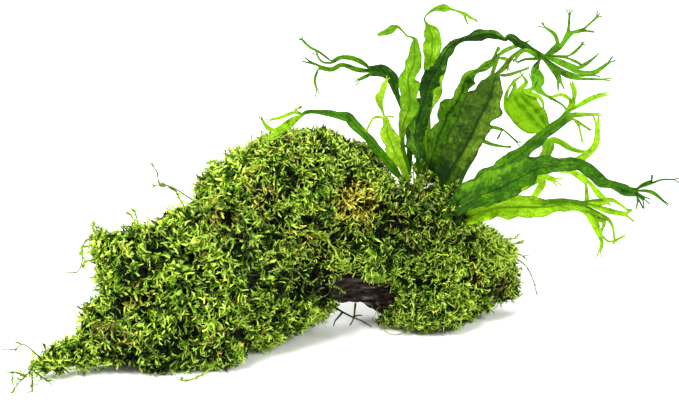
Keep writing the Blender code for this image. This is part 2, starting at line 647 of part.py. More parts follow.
def main():
    clear_scene()
    driftwood = build_driftwood()
    moss = build_moss()
    rhizome = build_rhizome()
    fronds = [build_frond(name) for name in FRONDS]
    runners = [build_runner(name) for name in RUNNERS]
    for neighbour in [driftwood, rhizome] + fronds + runners:
        cut_away(moss, grown_copy(neighbour, neighbour.name + " space"))
    ground = build_ground_cutter()
    cut_away(moss, ground)
    cut_away(driftwood, ground)


main()
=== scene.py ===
import math

import bmesh
import bpy
import numpy as np
from mathutils import Matrix, Vector, noise
from mathutils.bvhtree import BVHTree


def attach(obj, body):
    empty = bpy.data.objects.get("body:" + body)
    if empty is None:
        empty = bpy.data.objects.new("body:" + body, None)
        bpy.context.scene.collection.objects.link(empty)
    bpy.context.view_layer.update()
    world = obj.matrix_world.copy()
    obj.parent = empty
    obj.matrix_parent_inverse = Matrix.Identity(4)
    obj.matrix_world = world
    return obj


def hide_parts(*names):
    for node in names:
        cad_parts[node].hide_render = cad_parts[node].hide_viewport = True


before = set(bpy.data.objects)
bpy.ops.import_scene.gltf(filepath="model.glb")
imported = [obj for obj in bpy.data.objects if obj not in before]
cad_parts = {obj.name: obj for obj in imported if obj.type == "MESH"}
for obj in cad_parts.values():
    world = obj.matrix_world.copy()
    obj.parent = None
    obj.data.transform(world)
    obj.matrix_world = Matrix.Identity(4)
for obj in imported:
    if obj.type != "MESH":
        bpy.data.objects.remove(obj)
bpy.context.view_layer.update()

# Java fern on driftwood: moss shoots, fern fronds and bare wood in place of the plain solids.
# Places are (across, up, back) in millimetres as the camera sees them, and placeOf turns them
# into metres in the frame.

mm = 0.001
random = np.random.default_rng(11)
noise.seed_set(11)  # noise_vector differs from run to run without a seed

camera = {
    "angle": math.radians(18),  # how far the camera looks down
    "distance": 900,  # from the camera to what it looks at
    "target": (-1, 0, 57),
    "targetSeen": (-1, 54.2),  # the target's place across and up
    "lens": 119.3,
    "footprintCentre": (0.9, -6.4, 0),  # what the solids were moved by
}
eyeForward = Vector((0, math.cos(camera["angle"]), -math.sin(camera["angle"])))
eyeUp = Vector((0, math.sin(camera["angle"]), math.cos(camera["angle"])))
eyePoint = Vector(camera["target"]) - eyeForward * camera["distance"]


def placeOf(across, up, back):
    sight = eyeForward * camera["distance"]
    sight += Vector((1, 0, 0)) * (across - camera["targetSeen"][0])
    sight += eyeUp * (up - camera["targetSeen"][1])
    reach = (back - eyePoint.y) / sight.y
    return (eyePoint + sight * reach - Vector(camera["footprintCentre"])) * mm


def seenPlaces(points):  # the (across, up) that the camera sees of an array of points in metres
    fromEye = points / mm + np.array(camera["footprintCentre"]) - np.array(eyePoint)
    depth = fromEye @ np.array(eyeForward)
    across = fromEye[:, 0] / depth * camera["distance"] + camera["targetSeen"][0]
    up = fromEye @ np.array(eyeUp) / depth * camera["distance"] + camera["targetSeen"][1]
    return across, up


# Shader maths

class Wire:  # a socket that sums can be written with, and a maker of nodes
    def __init__(self, tree, socket=None):
        self.tree = tree
        self.socket = socket

    def make(self, kind, settings=None, inputs=None, output=0):
        node = self.tree.nodes.new(kind)
        for name, value in (settings or {}).items():
            if name == "stops":
                fillRamp(node.color_ramp, value)
            else:
                setattr(node, name, value)
        for key, value in (inputs or {}).items():
            if isinstance(value, Wire):
                self.tree.links.new(value.socket, node.inputs[key])
            else:
                node.inputs[key].default_value = value
        return Wire(self.tree, node.outputs[output])

    def sum(self, operation, first, second=0.5):
        return self.make("ShaderNodeMath", {"operation": operation}, {0: first, 1: second})

    def __add__(self, other):
        return self.sum("ADD", self, other)

    def __radd__(self, other):
        return self.sum("ADD", other, self)

    def __sub__(self, other):
        return self.sum("SUBTRACT", self, other)

    def __rsub__(self, other):
        return self.sum("SUBTRACT", other, self)

    def __mul__(self, other):
        return self.sum("MULTIPLY", self, other)

    def __rmul__(self, other):
        return self.sum("MULTIPLY", other, self)

    def __abs__(self):
        return self.sum("ABSOLUTE", self)

    def smooth(self, low, high):  # 0 below low, 1 above high
        settings = {"interpolation_type": "SMOOTHSTEP"}
        return self.make("ShaderNodeMapRange", settings, {0: self, 1: low, 2: high})

    def mixed(self, first, second):  # a colour between two, by this factor
        sockets = {0: self, 6: first, 7: second}
        return self.make("ShaderNodeMix", {"data_type": "RGBA"}, sockets, output=2)

    def noise(self, place, scale, detail=2, roughness=0.5):
        inputs = {"Vector": place, "Scale": scale, "Detail": detail, "Roughness": roughness}
        return self.make("ShaderNodeTexNoise", {}, inputs)

    def place(self):  # where a point lies on its own object
        return self.make("ShaderNodeTexCoord", output="Object")

    def vector(self, x, y):
        return self.make("ShaderNodeCombineXYZ", {}, {0: x, 1: y})

    def parts(self, place):
        node = self.tree.nodes.new("ShaderNodeSeparateXYZ")
        self.tree.links.new(place.socket, node.inputs[0])
        return [Wire(self.tree, output) for output in node.outputs]


def fillRamp(ramp, stops):
    while len(ramp.elements) > 1:
        ramp.elements.remove(ramp.elements[-1])
    ramp.elements[0].position = stops[0][0]
    ramp.elements[0].color = (*stops[0][1], 1)
    for position, colour in stops[1:]:
        ramp.elements.new(position).color = (*colour, 1)


def colour(hexCode):  # a screen colour as the linear values that shaders use
    parts = [int(hexCode[i:i + 2], 16) / 255 for i in (0, 2, 4)]
    return tuple(p / 12.92 if p <= 0.04045 else ((p + 0.055) / 1.055) ** 2.4 for p in parts)


def opaque(hexCode):
    return (*colour(hexCode), 1)


def startMaterial(name, roughness=0.5, specular=0.5):
    material = bpy.data.materials.new(name)
    material.use_nodes = True
    shader = material.node_tree.nodes["Principled BSDF"]
    shader.inputs["Roughness"].default_value = roughness
    shader.inputs["Specular IOR Level"].default_value = specular
    return material, shader, Wire(material.node_tree)


def plug(material, wire, socket):
    material.node_tree.links.new(wire.socket, socket)


def addBump(material, shader, wire, height, distance, strength):
    bump = wire.make("ShaderNodeBump", {}, {"Height": height, "Distance": distance, "Strength": strength})
    plug(material, bump, shader.inputs["Normal"])


def letThrough(material, shader, wire, tint, share):  # some of the light passes through, tinted
    through = wire.make("ShaderNodeBsdfTranslucent", {}, {"Color": tint})
    surface = Wire(wire.tree, shader.outputs[0])
    both = wire.make("ShaderNodeMixShader", {}, {0: share, 1: surface, 2: through})
    plug(material, both, material.node_tree.nodes["Material Output"].inputs["Surface"])


# Objects

def linked(name, data):  # a new object in the scene
    item = bpy.data.objects.new(name, data)
    bpy.context.collection.objects.link(item)
    return item


def evaluated(item):  # the mesh that an object's modifiers make, kept instead of the object
    graph = bpy.context.evaluated_depsgraph_get()
    mesh = bpy.data.meshes.new_from_object(item.evaluated_get(graph))
    bpy.data.objects.remove(item, do_unlink=True)
    return mesh


def smoothMesh(shape, name):  # a bmesh made into a mesh with soft shading
    mesh = bpy.data.meshes.new(name)
    shape.to_mesh(mesh)
    shape.free()
    mesh.shade_smooth()
    return mesh


def cornersOf(mesh):  # the places and the normals of a mesh's corners, as arrays
    corners = np.empty(len(mesh.vertices) * 3)
    mesh.vertices.foreach_get("co", corners)
    return corners.reshape(-1, 3), np.array([vertex.normal for vertex in mesh.vertices])


def addObject(name, mesh, material, slot, *nodes):
    mesh.materials.clear()
    mesh.materials.append(material)
    item = linked(name, mesh)
    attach(item, "root")
    if nodes:
        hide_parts(*nodes)
    return item


def nodeCopy(name):  # a solid's own mesh with its corners joined
    shape = bmesh.new()
    shape.from_mesh(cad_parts[name].data)
    bmesh.ops.remove_doubles(shape, verts=shape.verts, dist=0.00001)
    return shape


def remeshed(shape, voxel, smoothing):  # one closed skin round a bmesh
    item = linked("rough", smoothMesh(shape, "rough"))
    remesh = item.modifiers.new("remesh", "REMESH")
    remesh.mode = "VOXEL"
    remesh.voxel_size = voxel * mm
    item.modifiers.new("smooth", "SMOOTH").iterations = smoothing
    return evaluated(item)


def meshTree(mesh):
    return BVHTree.FromPolygons([v.co for v in mesh.vertices], [p.vertices for p in mesh.polygons])


def extrudeRow(shape, row, closed=False):
    ends = row[1:] + [row[0]] if closed else row[1:]
    edges = [shape.edges.get(pair) for pair in zip(row, ends)]
    grown = bmesh.ops.extrude_edge_only(shape, edges=edges)["geom"]
    fresh = [part for part in grown if isinstance(part, bmesh.types.BMVert)]
    return [min(fresh, key=lambda v: (v.co - old.co).length) for old in row]


def curveThrough(points, between):  # a Catmull-Rom curve that keeps each point
    ends = [points[0]] + list(points) + [points[-1]]
    curve = []
    for index in range(len(points) - 1):
        before, start, end, after = (Vector(point) for point in ends[index:index + 4])
        for step in range(between + 1):
            t = step / (between + 1)
            bend = (end - before) * t + (2 * before - 5 * start + 4 * end - after) * t ** 2
            bend += (3 * start - before - 3 * end + after) * t ** 3
            curve.append(start + bend / 2)
    curve.append(Vector(points[-1]))
    return curve


def directionAt(points, index):
    before = points[max(index - 1, 0)]
    after = points[min(index + 1, len(points) - 1)]
    return (after - before).normalized()


def addTube(shape, points, radius, taper, sides=6):  # a thin round stem along points in metres
    ring = None
    for index, point in enumerate(points):
        turn = directionAt(points, index).to_track_quat("Z", "Y").to_matrix()
        share = index / (len(points) - 1)
        width = radius * (1 - taper * share) * mm
        centre = Vector((point.x, point.y, max(point.z, width + 0.1 * mm)))  # clear of the ground
        if ring is None:
            ring = bmesh.ops.create_circle(shape, segments=sides, radius=width, cap_ends=True)["verts"]
        else:
            ring = extrudeRow(shape, ring, closed=True)
        for step, corner in enumerate(ring):
            angle = math.tau * step / sides
            corner.co = centre + turn @ Vector((math.cos(angle), math.sin(angle), 0)) * width
    shape.faces.new(ring)


# Stage, light and camera

lighting = {
    "world": 0.8,
    "floor": "F4F4F2",
    "floorSize": 6,
    "key": (17, (-0.45, -0.6, 1.05), 0.4),  # watts, place and size in metres
    "fill": (9, (0.7, -0.7, 0.8), 0.25),
    "rim": (10, (0.0, 0.75, 1.0), 0.35),
    "aim": (0, 0, 0.05),
}


def addLight(name, watts, place, size):
    light = bpy.data.lights.new(name, "AREA")
    light.energy = watts
    light.size = size
    lamp = linked(name, light)
    lamp.location = place
    lamp.rotation_euler = (Vector(lighting["aim"]) - Vector(place)).to_track_quat("-Z", "Y").to_euler()


def buildStage():
    shape = bmesh.new()
    bmesh.ops.create_grid(shape, x_segments=1, y_segments=1, size=lighting["floorSize"])
    floor = linked("floor", smoothMesh(shape, "floor"))
    material, shader, _ = startMaterial("white floor", 0.9, 0.1)
    shader.inputs["Base Color"].default_value = opaque(lighting["floor"])
    floor.data.materials.append(material)
    world = bpy.data.worlds.new("soft white")
    world.use_nodes = True
    background = world.node_tree.nodes["Background"]
    background.inputs["Color"].default_value = (1, 1, 1, 1)
    background.inputs["Strength"].default_value = lighting["world"]
    bpy.context.scene.world = world
    for name in ("key", "fill", "rim"):
        addLight(name, *lighting[name])
    bpy.context.scene.view_settings.view_transform = "Standard"


def buildCamera():
    data = bpy.data.cameras.new("camera")
    data.lens = camera["lens"]
    data.clip_start = 0.01
    eye = linked("camera", data)
    eye.location = (eyePoint - Vector(camera["footprintCentre"])) * mm
    eye.rotation_euler = (math.pi / 2 - camera["angle"], 0, 0)
    bpy.context.scene.camera = eye


# Driftwood

wood = {
    "voxel": 0.9,
    "grainWay": (0.9, 0.36, 0.12),
    "grainTurn": (0.1, -0.12, -0.38),  # the same way, for the colours
    "grainHeight": 0.6,
    "grainLength": 16,
    "grainWidth": 1.5,
    "crackDepth": 0.9,
    "crackWidth": 0.12,  # as a share of the noise's reach
    "footHeight": 0.4,  # the flat feet below this stay as they are
    "dark": "030101",
    "mid": "302420",
    "pale": "6E6456",
    "purple": "2E1E22",
}


def buildDriftwood():
    skin = remeshed(nodeCopy("driftwood"), wood["voxel"], 4)
    normals = [vertex.normal.copy() for vertex in skin.vertices]
    axis = Vector(wood["grainWay"]).normalized()
    for vertex, normal in zip(skin.vertices, normals):
        if vertex.co.z < wood["footHeight"] * mm:
            continue
        along = axis * vertex.co.dot(axis)
        grainPlace = along / wood["grainLength"] + (vertex.co - along) / wood["grainWidth"]
        height = noise.noise(grainPlace / mm) * wood["grainHeight"]
        crack = noise.noise(grainPlace / mm * 0.55 + Vector((7, 3, 1)))
        height -= max(0, 1 - abs(crack) / wood["crackWidth"]) * wood["crackDepth"]
        vertex.co += normal * height * mm
    skin.shade_smooth()
    addObject("driftwood_bare", skin, driftwoodMaterial(), "driftwood", "driftwood")


def driftwoodMaterial():
    material, shader, wire = startMaterial("dark driftwood", specular=0.08)
    place = wire.place()
    turned = wire.make("ShaderNodeMapping", {}, {"Vector": place, "Rotation": wood["grainTurn"]})
    grainPlace = wire.make("ShaderNodeMapping", {}, {"Vector": turned, "Scale": (60, 900, 900)})
    grain = wire.noise(grainPlace, 1, 4, 0.6)
    patches = wire.noise(place, 90, 3)
    purple = patches.smooth(0.45, 0.6).mixed(opaque(wood["mid"]), opaque(wood["purple"]))
    base = grain.smooth(0.46, 0.62).mixed(opaque(wood["dark"]), purple)
    streaks = wire.noise(grainPlace, 0.35, 3).smooth(0.5, 0.64)
    final = (streaks * patches.smooth(0.35, 0.6)).mixed(base, opaque(wood["pale"]))
    plug(material, final, shader.inputs["Base Color"])
    plug(material, 0.75 - patches * 0.3, shader.inputs["Roughness"])
    addBump(material, shader, wire, grain + streaks * 0.5, 0.0008, 0.8)
    return material


# Moss

moss = {
    "shoots": 43500,
    "pieces": 6,
    "length": (3.8, 7.6),
    "depth": (1.2, 2.8),  # how far under the mat's skin a shoot starts
    "coarse": (-42, 0.88),  # left of here the shoots have this size
    "fine": (-8, 0.62),  # right of here this one
    "upper": 0.68,  # share of the shoots that make the upper layer, which is painted bright
    "upperRise": (0.2, 1.7),  # how far past the skin its shoots end
    "lowerRise": (-1.3, 0.2),
    "upperLight": (0.95, 2.15),  # the painted light on its shoots
    # the lower layer's shoots are painted dark, as painted shade under the upper layer
    "lowerShade": (0.08, 0.4),
    "shootWidth": 0.4,  # of half a shoot
    "stations": (0, 0.32, 0.66, 0.92),
    "leafLength": 0.9,
    "leafWidth": 0.2,  # of half a leaf
    "leafAngle": math.radians(32),
    "leaves": 3,
    "clumpSize": 4.5,
    "clumpHeight": 1.2,
    "gapSize": 5.5,
    "gaps": 0.3,  # the mat opens where noise of this size falls under minus this
    "tuftSize": 5,
    "wildness": 0.36,  # how much a shoot's heading differs from its tuft's
    "droop": 0.2,
    "curl": (0.8, 3.5),  # how far a shoot turns over its length
    "wisps": 0.05,  # share of the shoots that stand proud
    "wispRise": (1, 3.2),
    "patchShade": 0.45,  # how much painted shade darkens a dark patch and painted light brightens a lime one
    "templates": 7,
    "woodNear": 1.4,
    "groundNear": 0.6,
    "voxel": 1.5,
    "underlayVoxel": 2.2,
    "underlayDepth": 3.4,
    "underlayRough": 1.4,
    "underlayShare": 0.45,  # at most, of the mat's thickness
    "underlayShadedColours": ("020301", "1C1E0A"),
    "stems": 90,
    "stemRadius": 0.15,
    "lightThrough": 0.3,
}
# The shoots' colours in the dark, halfway and in the light, by hue
mossColours = {
    "dead": ("080600", "4C4614", "BCB052"),
    "dark": ("050C00", "365E06", "A4CC44"),
    "green": ("061400", "609208", "D8F262"),
    "lime": ("0C2200", "86C00A", "E2F662"),
    "gold": ("181600", "BEB016", "F8EC70"),
}
# The mat's patches as (across, up, radius, how much) for each finish that it changes; the dark
# patches are partly darker moss and partly painted shade in its creases and hollows, and the lime
# patches partly lime moss and partly painted light on its lit edges
mossPatches = {
    "gold": [(7, 53, 9, 1.3), (1, 50, 5, 1.0), (55, 24, 4, 0.6), (66, 21, 4, 0.6), (-37, 66, 4, 0.5),
             (-12, 40, 7, 0.3), (-86, 37, 4, 0.6), (-85, 11, 5, 0.4), (-30, 56, 6, 0.3), (-50, 52, 4, 0.5)],
    "dead": [(-10, 38, 8, 0.6), (-6, 24, 8, 0.5), (-18, 75, 9, 0.5), (14, 76, 7, 0.3), (-92, 1, 9, 0.5),
             (-48, -3, 7, 0.55), (26, 46, 10, 0.4), (34, 42, 9, 0.55), (30, 60, 8, 0.4), (-76, 30, 4, 0.5),
             (-31, 57, 8, 0.5), (-48, 48, 6, 0.5), (-42, 46, 4, 0.4), (64, 19, 6, 0.4), (-11, 35, 6, 0.7),
             (-20, 30, 6, 0.2)],
    "lime": [(62, 38, 8, 0.9), (67, 33, 7, 1.1), (47, 22, 9, 0.55), (-45, 71, 9, 0.9), (-53, 60, 10, 0.9),
             (-68, 46, 9, 0.8), (-59, 41, 8, 0.7), (-99, 36, 8, 1.3), (-97, 27, 6, 1.1), (-27, 80, 8, 0.8),
             (-54, 32, 7, 1.1), (-48, 14, 9, 0.5), (-52, 4, 7, 0.6), (-27, -3, 8, 0.6), (-12, 9, 7, 0.7),
             (-104, -1, 8, 0.7), (-108, -9, 7, 0.7), (-67, 27, 6, 0.6), (-21, 55, 6, 0.4), (14, 42, 5, 0.3),
             (19, 63, 4, 0.5)],
    "dark": [(-14, 20, 6, 1.5), (-7, 17, 5, 1.3), (-19, 24, 4, 1.0), (-11, 25, 4, 1.4), (24, 44, 16, 0.45),
             (26, 22, 6, 0.5), (-6, 62, 8, 0.3), (-70, -8, 12, 0.5), (-40, -4, 8, 0.3), (36, 52, 12, 0.55),
             (-71, 40, 4, 0.7), (-78, 29, 4, 0.7), (-88, 24, 8, 0.4), (-44, 37, 4, 0.5), (-28, 40, 8, 0.35),
             (-25, 8, 8, 0.3), (-38, 30, 5, 0.7), (-58, 21, 5, 0.8), (-53, 25, 4, 0.7), (-34, 23, 4, 0.6),
             (-45, 12, 4, 0.7), (-66, 14, 3, 0.6), (-80, 12, 4, 0.7), (62, 17, 8, 0.5), (-22, 64, 8, 0.4),
             (-64, 34, 3, 0.6), (-10, 46, 6, 0.3), (38, 14, 9, 0.45)],
}
# Tufts of moss round the foot of the fern, as (across, up, back, radius)
footTufts = [
    (30, 61, 4, 4), (36, 59, 2, 4), (42, 55, 0, 4), (48, 48, -1, 4), (33, 63, 6, 3), (53, 46, 0, 3),
    (20, 62, 4, 4), (25, 62, 3, 4), (15, 64, 5, 3), (26, 57, -6, 4), (38, 62, 6, 3), (44, 57, 4, 3),
    (27, 52, -7, 3), (54, 10.5, 15, 3.5), (57.5, 12.5, 15, 3), (51, 8.5, 14, 2.5), (43, 52, -3, 3),
    (46.5, 55, -4, 2), (37, 64, 3, 2.5), (44.5, 60, 2, 2.5)]
tuftShoots = 110  # in each
# The dark and pale colours of bare stems
strandColours = {
    "straw": ("2A260C", "949048"),
    "lime": ("4E6A10", "B4C24C"),
    "runner": ("141A04", "6E7E2A"),
    "twig": ("060802", "2A3A08"),
}
# Strands that lie over the mat or stray past it, as (across, up) routes, and their radius
strands = {
    "straw": [
        ([(-29.3, 26.2), (-24.3, 27.3), (-18.6, 26.9), (-15, 23), (-12.8, 21.2)], 0.34),
        ([(-15, 23), (-15.6, 18.7)], 0.28),
        ([(-18.6, 26.9), (-16.4, 28.7)], 0.28),
        ([(-52, 53), (-48.5, 53.7), (-45.7, 52.2)], 0.34),
        ([(-92, 4.4), (-87.8, 7.3), (-82.8, 10.8), (-77, 15)], 0.34),
        ([(-87.8, 2.3), (-81.4, 0.1), (-77, -4), (-74.2, -7), (-70, -9)], 0.38),
        ([(-98.5, 2.3), (-93, 5), (-89, 4)], 0.3),
        ([(9.5, 23), (10.7, 21.8), (13.2, 21.8), (16.2, 22.6)], 0.34),
        ([(-7, 21.2), (-2.7, 20.6), (0.3, 18.2)], 0.3),
        ([(29, 60), (28.6, 66), (29, 72)], 0.3),
        ([(31.6, 59), (32, 66), (31.6, 71)], 0.28),
        ([(38, 50), (34, 54), (32, 60)], 0.3),
    ],
    "lime": [
        ([(-17.8, 40.8), (-13, 42.6), (-8.8, 41.4), (-5.2, 41.4), (-1.5, 43)], 0.4),
        ([(-13, 42.4), (-11.9, 44.8)], 0.3),
        ([(-5.8, 39), (-2.7, 34.7), (-0.3, 29.8), (0.9, 26.7)], 0.4),
        ([(3.4, 31.6), (-0.3, 29.8)], 0.3),
        ([(-39.3, 65.8), (-35.7, 68), (-30.7, 69.4)], 0.42),
        ([(-37.1, 8.7), (-41, 6)], 0.35),
        ([(31.6, 54.3), (35.2, 57.3), (38.9, 58.6)], 0.32),
        ([(38, 53), (42, 56.1), (45.6, 59.8)], 0.3),
        ([(-98.2, 40.8), (-99.6, 43), (-99.2, 45.5)], 0.26),
        ([(-82.1, 43), (-83.9, 47.6), (-86, 50.1)], 0.24),
        ([(-82.1, 44), (-82.2, 48.7), (-83.4, 50.7)], 0.26),
        ([(-50.2, 69), (-51.5, 70.1), (-53.5, 69.9)], 0.22),
        ([(-62.8, 52), (-65, 55.1), (-66, 57)], 0.24),
        ([(67, 37), (70, 37.4), (72.6, 38.4)], 0.26),
        ([(64, 39), (68.5, 39.5), (70.5, 40.8)], 0.24),
        ([(-50.7, -10.6), (-55.7, -14.9), (-62.8, -17.4), (-64.4, -16.3)], 0.3),
        ([(-100, 37), (-103.5, 36), (-104.5, 33.5)], 0.28),
        ([(-99, 31), (-102.5, 30), (-103.5, 28)], 0.28),
        ([(-16, 88), (-18, 90.5), (-17, 92)], 0.22),
    ],
}
strandShoots = ((1.2, 2.4), (0.2, 1.2), (0.45, 0.7))  # their length, turn and size
strandLift = 1.3  # off the mat
# Stalks that stray past the mat, as (across, up, back) routes, and how many shoots clothe each
strays = {
    "left": [
        ([(-114, -9, -45), (-119, -9, -48), (-123, -11, -51), (-125, -15, -55)], 16),
        ([(-124, -13, -54), (-127, -16, -57), (-130, -19, -60), (-132, -23, -61)], 20),
        ([(-124, -14, -54), (-124, -18, -57), (-124, -22, -60)], 14),
        ([(-124, -13, -54), (-120, -16, -56), (-117, -18, -58)], 12),
        ([(-126, -16, -57), (-131, -14, -58), (-132, -18, -60)], 10),
        ([(-120, -9, -48), (-127, -3, -49), (-131, -5, -50), (-136, -5, -50)], 4),
    ],
    "top": [
        ([(-60, 55, -17), (-68, 60, -19), (-73, 61, -20), (-74, 66, -21), (-77, 70, -22)], 7),
        ([(-66, 58, -18), (-71, 61, -19), (-76, 60, -20)], 12),
    ],
    "side": [
        ([(-98, 40, -29), (-103, 38, -31), (-104, 30, -33), (-106, 26, -34), (-110, 26, -35)], 8),
        ([(-96, 43, -29), (-100, 45, -30)], 5),
    ],
    "right": [
        ([(68, 32, 29), (73, 29, 29), (76, 24, 30), (78, 17, 31)], 6),
        ([(67, 34, 28), (71, 33, 29), (74, 31, 29)], 7),
    ],
}
strayShoots = ((1.8, 3.4), (0.2, 1.4), (0.6, 0.85))
strayRadius = 0.34


def smoothNoise(points, size, shift):  # noise at an array of points in metres, about -1 to 1
    return np.array([noise.noise(Vector(point) / (size * mm) + shift) for point in points])


def noiseVectors(points, size, shift):
    return np.array([noise.noise_vector(Vector(point) / (size * mm) + shift) for point in points])


def unit(vectors):
    return vectors / np.maximum(np.linalg.norm(vectors, axis=1, keepdims=True), 1e-9)


def shootSize(points):  # coarse on the left of the mat and fine on its right
    across, _ = seenPlaces(points)
    return np.interp(across, (moss["coarse"][0], moss["fine"][0]), (moss["coarse"][1], moss["fine"][1]))


# Places on a skin, closer where the shoots are finer, and none where wood or the ground hides it
def sampleSkin(skin, count):
    woodTree = meshTree(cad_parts["driftwood"].data)
    skin.calc_loop_triangles()
    corners, normals = cornersOf(skin)
    triangles = np.array([triangle.vertices for triangle in skin.loop_triangles])
    centres = corners[triangles].mean(axis=1)
    a, b, c = (corners[triangles[:, i]] for i in range(3))
    crossed = np.cross(b - a, c - a)
    areas = np.linalg.norm(crossed, axis=1) / 2
    near = moss["woodNear"] * mm
    hidden = [woodTree.ray_cast(Vector(centre), Vector(outward), near)[0] is not None
              for centre, outward in zip(centres, unit(crossed))]
    areas[np.array(hidden)] = 0
    areas[centres[:, 2] < moss["groundNear"] * mm] = 0
    weights = areas / shootSize(centres) ** 1.3
    chosen = random.choice(len(triangles), count, p=weights / weights.sum())
    u, v = random.random((2, count, 1))
    swap = (u + v) > 1
    u, v = np.where(swap, 1 - u, u), np.where(swap, 1 - v, v)
    points = a[chosen] * (1 - u - v) + b[chosen] * u + c[chosen] * v
    facing = normals[triangles[chosen, 0]] * (1 - u - v) + normals[triangles[chosen, 1]] * u
    facing += normals[triangles[chosen, 2]] * v
    return points, unit(facing), areas.sum()


# One shoot: the share of its length, then millimetres aside, up and along, of each corner; its
# triangles; and each corner's painted shade, dark at the base and edges and bright at the ridge
# and tip
def shootTemplate(seed):
    local = np.random.default_rng(seed)
    corners, triangles, shares = [], [], []
    for i, along in enumerate(moss["stations"]):  # a ridged ribbon with a blunt tip
        wide = moss["shootWidth"] * (0.55 + 0.45 * math.sin(math.pi * (0.1 + 0.7 * along)))
        wide *= local.uniform(0.8, 1.2)
        # painted shade: each station is darker towards the shoot's base, and its edges darker than its ridge
        bright = 0.2 + 0.8 * along ** 1.15
        corners += [(along, -wide, 0, 0), (along, 0, wide * 0.7, 0), (along, wide, 0, 0)]
        shares += [bright * 0.55, bright, bright * 0.55]
        if i:
            k = 3 * i
            for step in (0, 1):
                corner = k + step
                triangles += [(corner - 3, corner - 2, corner + 1), (corner - 3, corner + 1, corner)]
    corners.append((1, 0, 0, 0))
    shares.append(0.95)
    k = len(corners) - 1
    triangles += [(k - 3, k - 2, k), (k - 2, k - 1, k)]
    count = moss["leaves"]
    for i in range(count):
        along = 0.2 + 0.68 * (i + local.uniform(-0.3, 0.3)) / count
        hand = 1 if i % 2 else -1
        angle = moss["leafAngle"] * local.uniform(0.5, 1.5)
        size = moss["leafLength"] * local.uniform(0.7, 1.3)
        wide = moss["leafWidth"] * local.uniform(0.85, 1.25)
        out = np.array((math.cos(angle), hand * math.sin(angle)))
        aside = np.array((-out[1], out[0]))
        lift = local.uniform(-0.1, 0.45)
        k = len(corners)
        for reach, wing, share in ((0, 0, 0.4), (0.5, 1, 0.7), (1, 0, 1), (0.5, -1, 0.7)):
            flat = out * size * reach + aside * wide * wing
            beside = flat[1] + hand * moss["shootWidth"] * 0.5
            corners.append((along, beside, lift * reach * size + 0.1, flat[0]))
            # painted shade: each leaf is darker at its root and towards the shoot's base
            shares.append(share * (0.35 + 0.6 * along))
        triangles += [(k, k + 1, k + 2), (k, k + 2, k + 3)]
    return np.array(corners), np.array(triangles), np.clip(np.array(shares), 0, 1)


# Many shoots at once, as arrays with a row for each shoot, which arcs from its heading towards
# its bend. Returns the corners, triangles and brightness of those that share a template.
def layShoots(templates, start, heading, bend, length, curl, scale, roll):
    bend = unit(bend - heading * np.sum(bend * heading, axis=1, keepdims=True))
    kinds = random.integers(0, len(templates), len(start))
    sets = []
    for kind, (table, triangles, shares) in enumerate(templates):
        chosen = np.flatnonzero(kinds == kind)
        ahead, inward = heading[chosen][:, None, :], bend[chosen][:, None, :]
        side = np.cross(ahead, inward)
        size = scale[chosen][:, None, None] * mm
        turn = curl[chosen][:, None, None]
        rolled = roll[chosen][:, None, None]
        radius = length[chosen][:, None, None] * mm / turn
        arc = turn * table[:, 0][None, :, None]
        tangent = ahead * np.cos(arc) + inward * np.sin(arc)
        normal = inward * np.cos(arc) - ahead * np.sin(arc)
        points = start[chosen][:, None, :] + (ahead * np.sin(arc) + inward * (1 - np.cos(arc))) * radius
        points += tangent * table[:, 3][None, :, None] * size
        points += (side * np.cos(rolled) + normal * np.sin(rolled)) * table[:, 1][None, :, None] * size
        points += (side * np.sin(rolled) - normal * np.cos(rolled)) * table[:, 2][None, :, None] * size
        sets.append((chosen, points, triangles, shares))
    return sets


# Small shoots on stalks, in ranges of length, of how far they turn and of size
def clothe(templates, starts, headings, ranges):
    total = len(starts)
    return layShoots(templates, np.array(starts), np.array(headings), random.normal(0, 1, (total, 3)),
                     *(random.uniform(low, high, total) for low, high in ranges),
                     random.normal(0, 0.6, total))


# One joined mesh, whose map holds each corner's painted light and shade and, up it, its hue
def mossMesh(name, sets, hues, paintedLight):
    corners, faces, mapped = [], [], []
    total = 0
    for chosen, points, triangles, tips in sets:
        count, each = points.shape[:2]
        corners.append(points.reshape(-1, 3))
        shifted = triangles[None] + (np.arange(count) * each)[:, None, None] + total
        faces.append(shifted.reshape(-1, 3))
        jitter = np.tile(np.linspace(-0.004, 0.004, each), (count, 1))
        # tips are each corner's painted shade, scaled by the shoot's painted light
        pairs = np.stack([tips[None] * paintedLight[chosen][:, None], hues[chosen][:, None] + jitter], axis=-1)
        mapped.append(pairs.reshape(-1, 2))
        total += count * each
    corners, faces, mapped = np.concatenate(corners), np.concatenate(faces), np.concatenate(mapped)
    corners[:, 2] = np.maximum(corners[:, 2], 0.15 * mm)
    mesh = bpy.data.meshes.new(name)
    mesh.vertices.add(len(corners))
    mesh.vertices.foreach_set("co", corners.ravel())
    mesh.loops.add(faces.size)
    mesh.loops.foreach_set("vertex_index", faces.ravel())
    mesh.polygons.add(len(faces))
    mesh.polygons.foreach_set("loop_start", np.arange(0, faces.size, 3))
    mesh.update(calc_edges=True)
    layer = mesh.uv_layers.new(name="OFBake")
    layer.data.foreach_set("uv", np.clip(mapped[faces.ravel()], 0.002, 0.998).ravel())
    return mesh


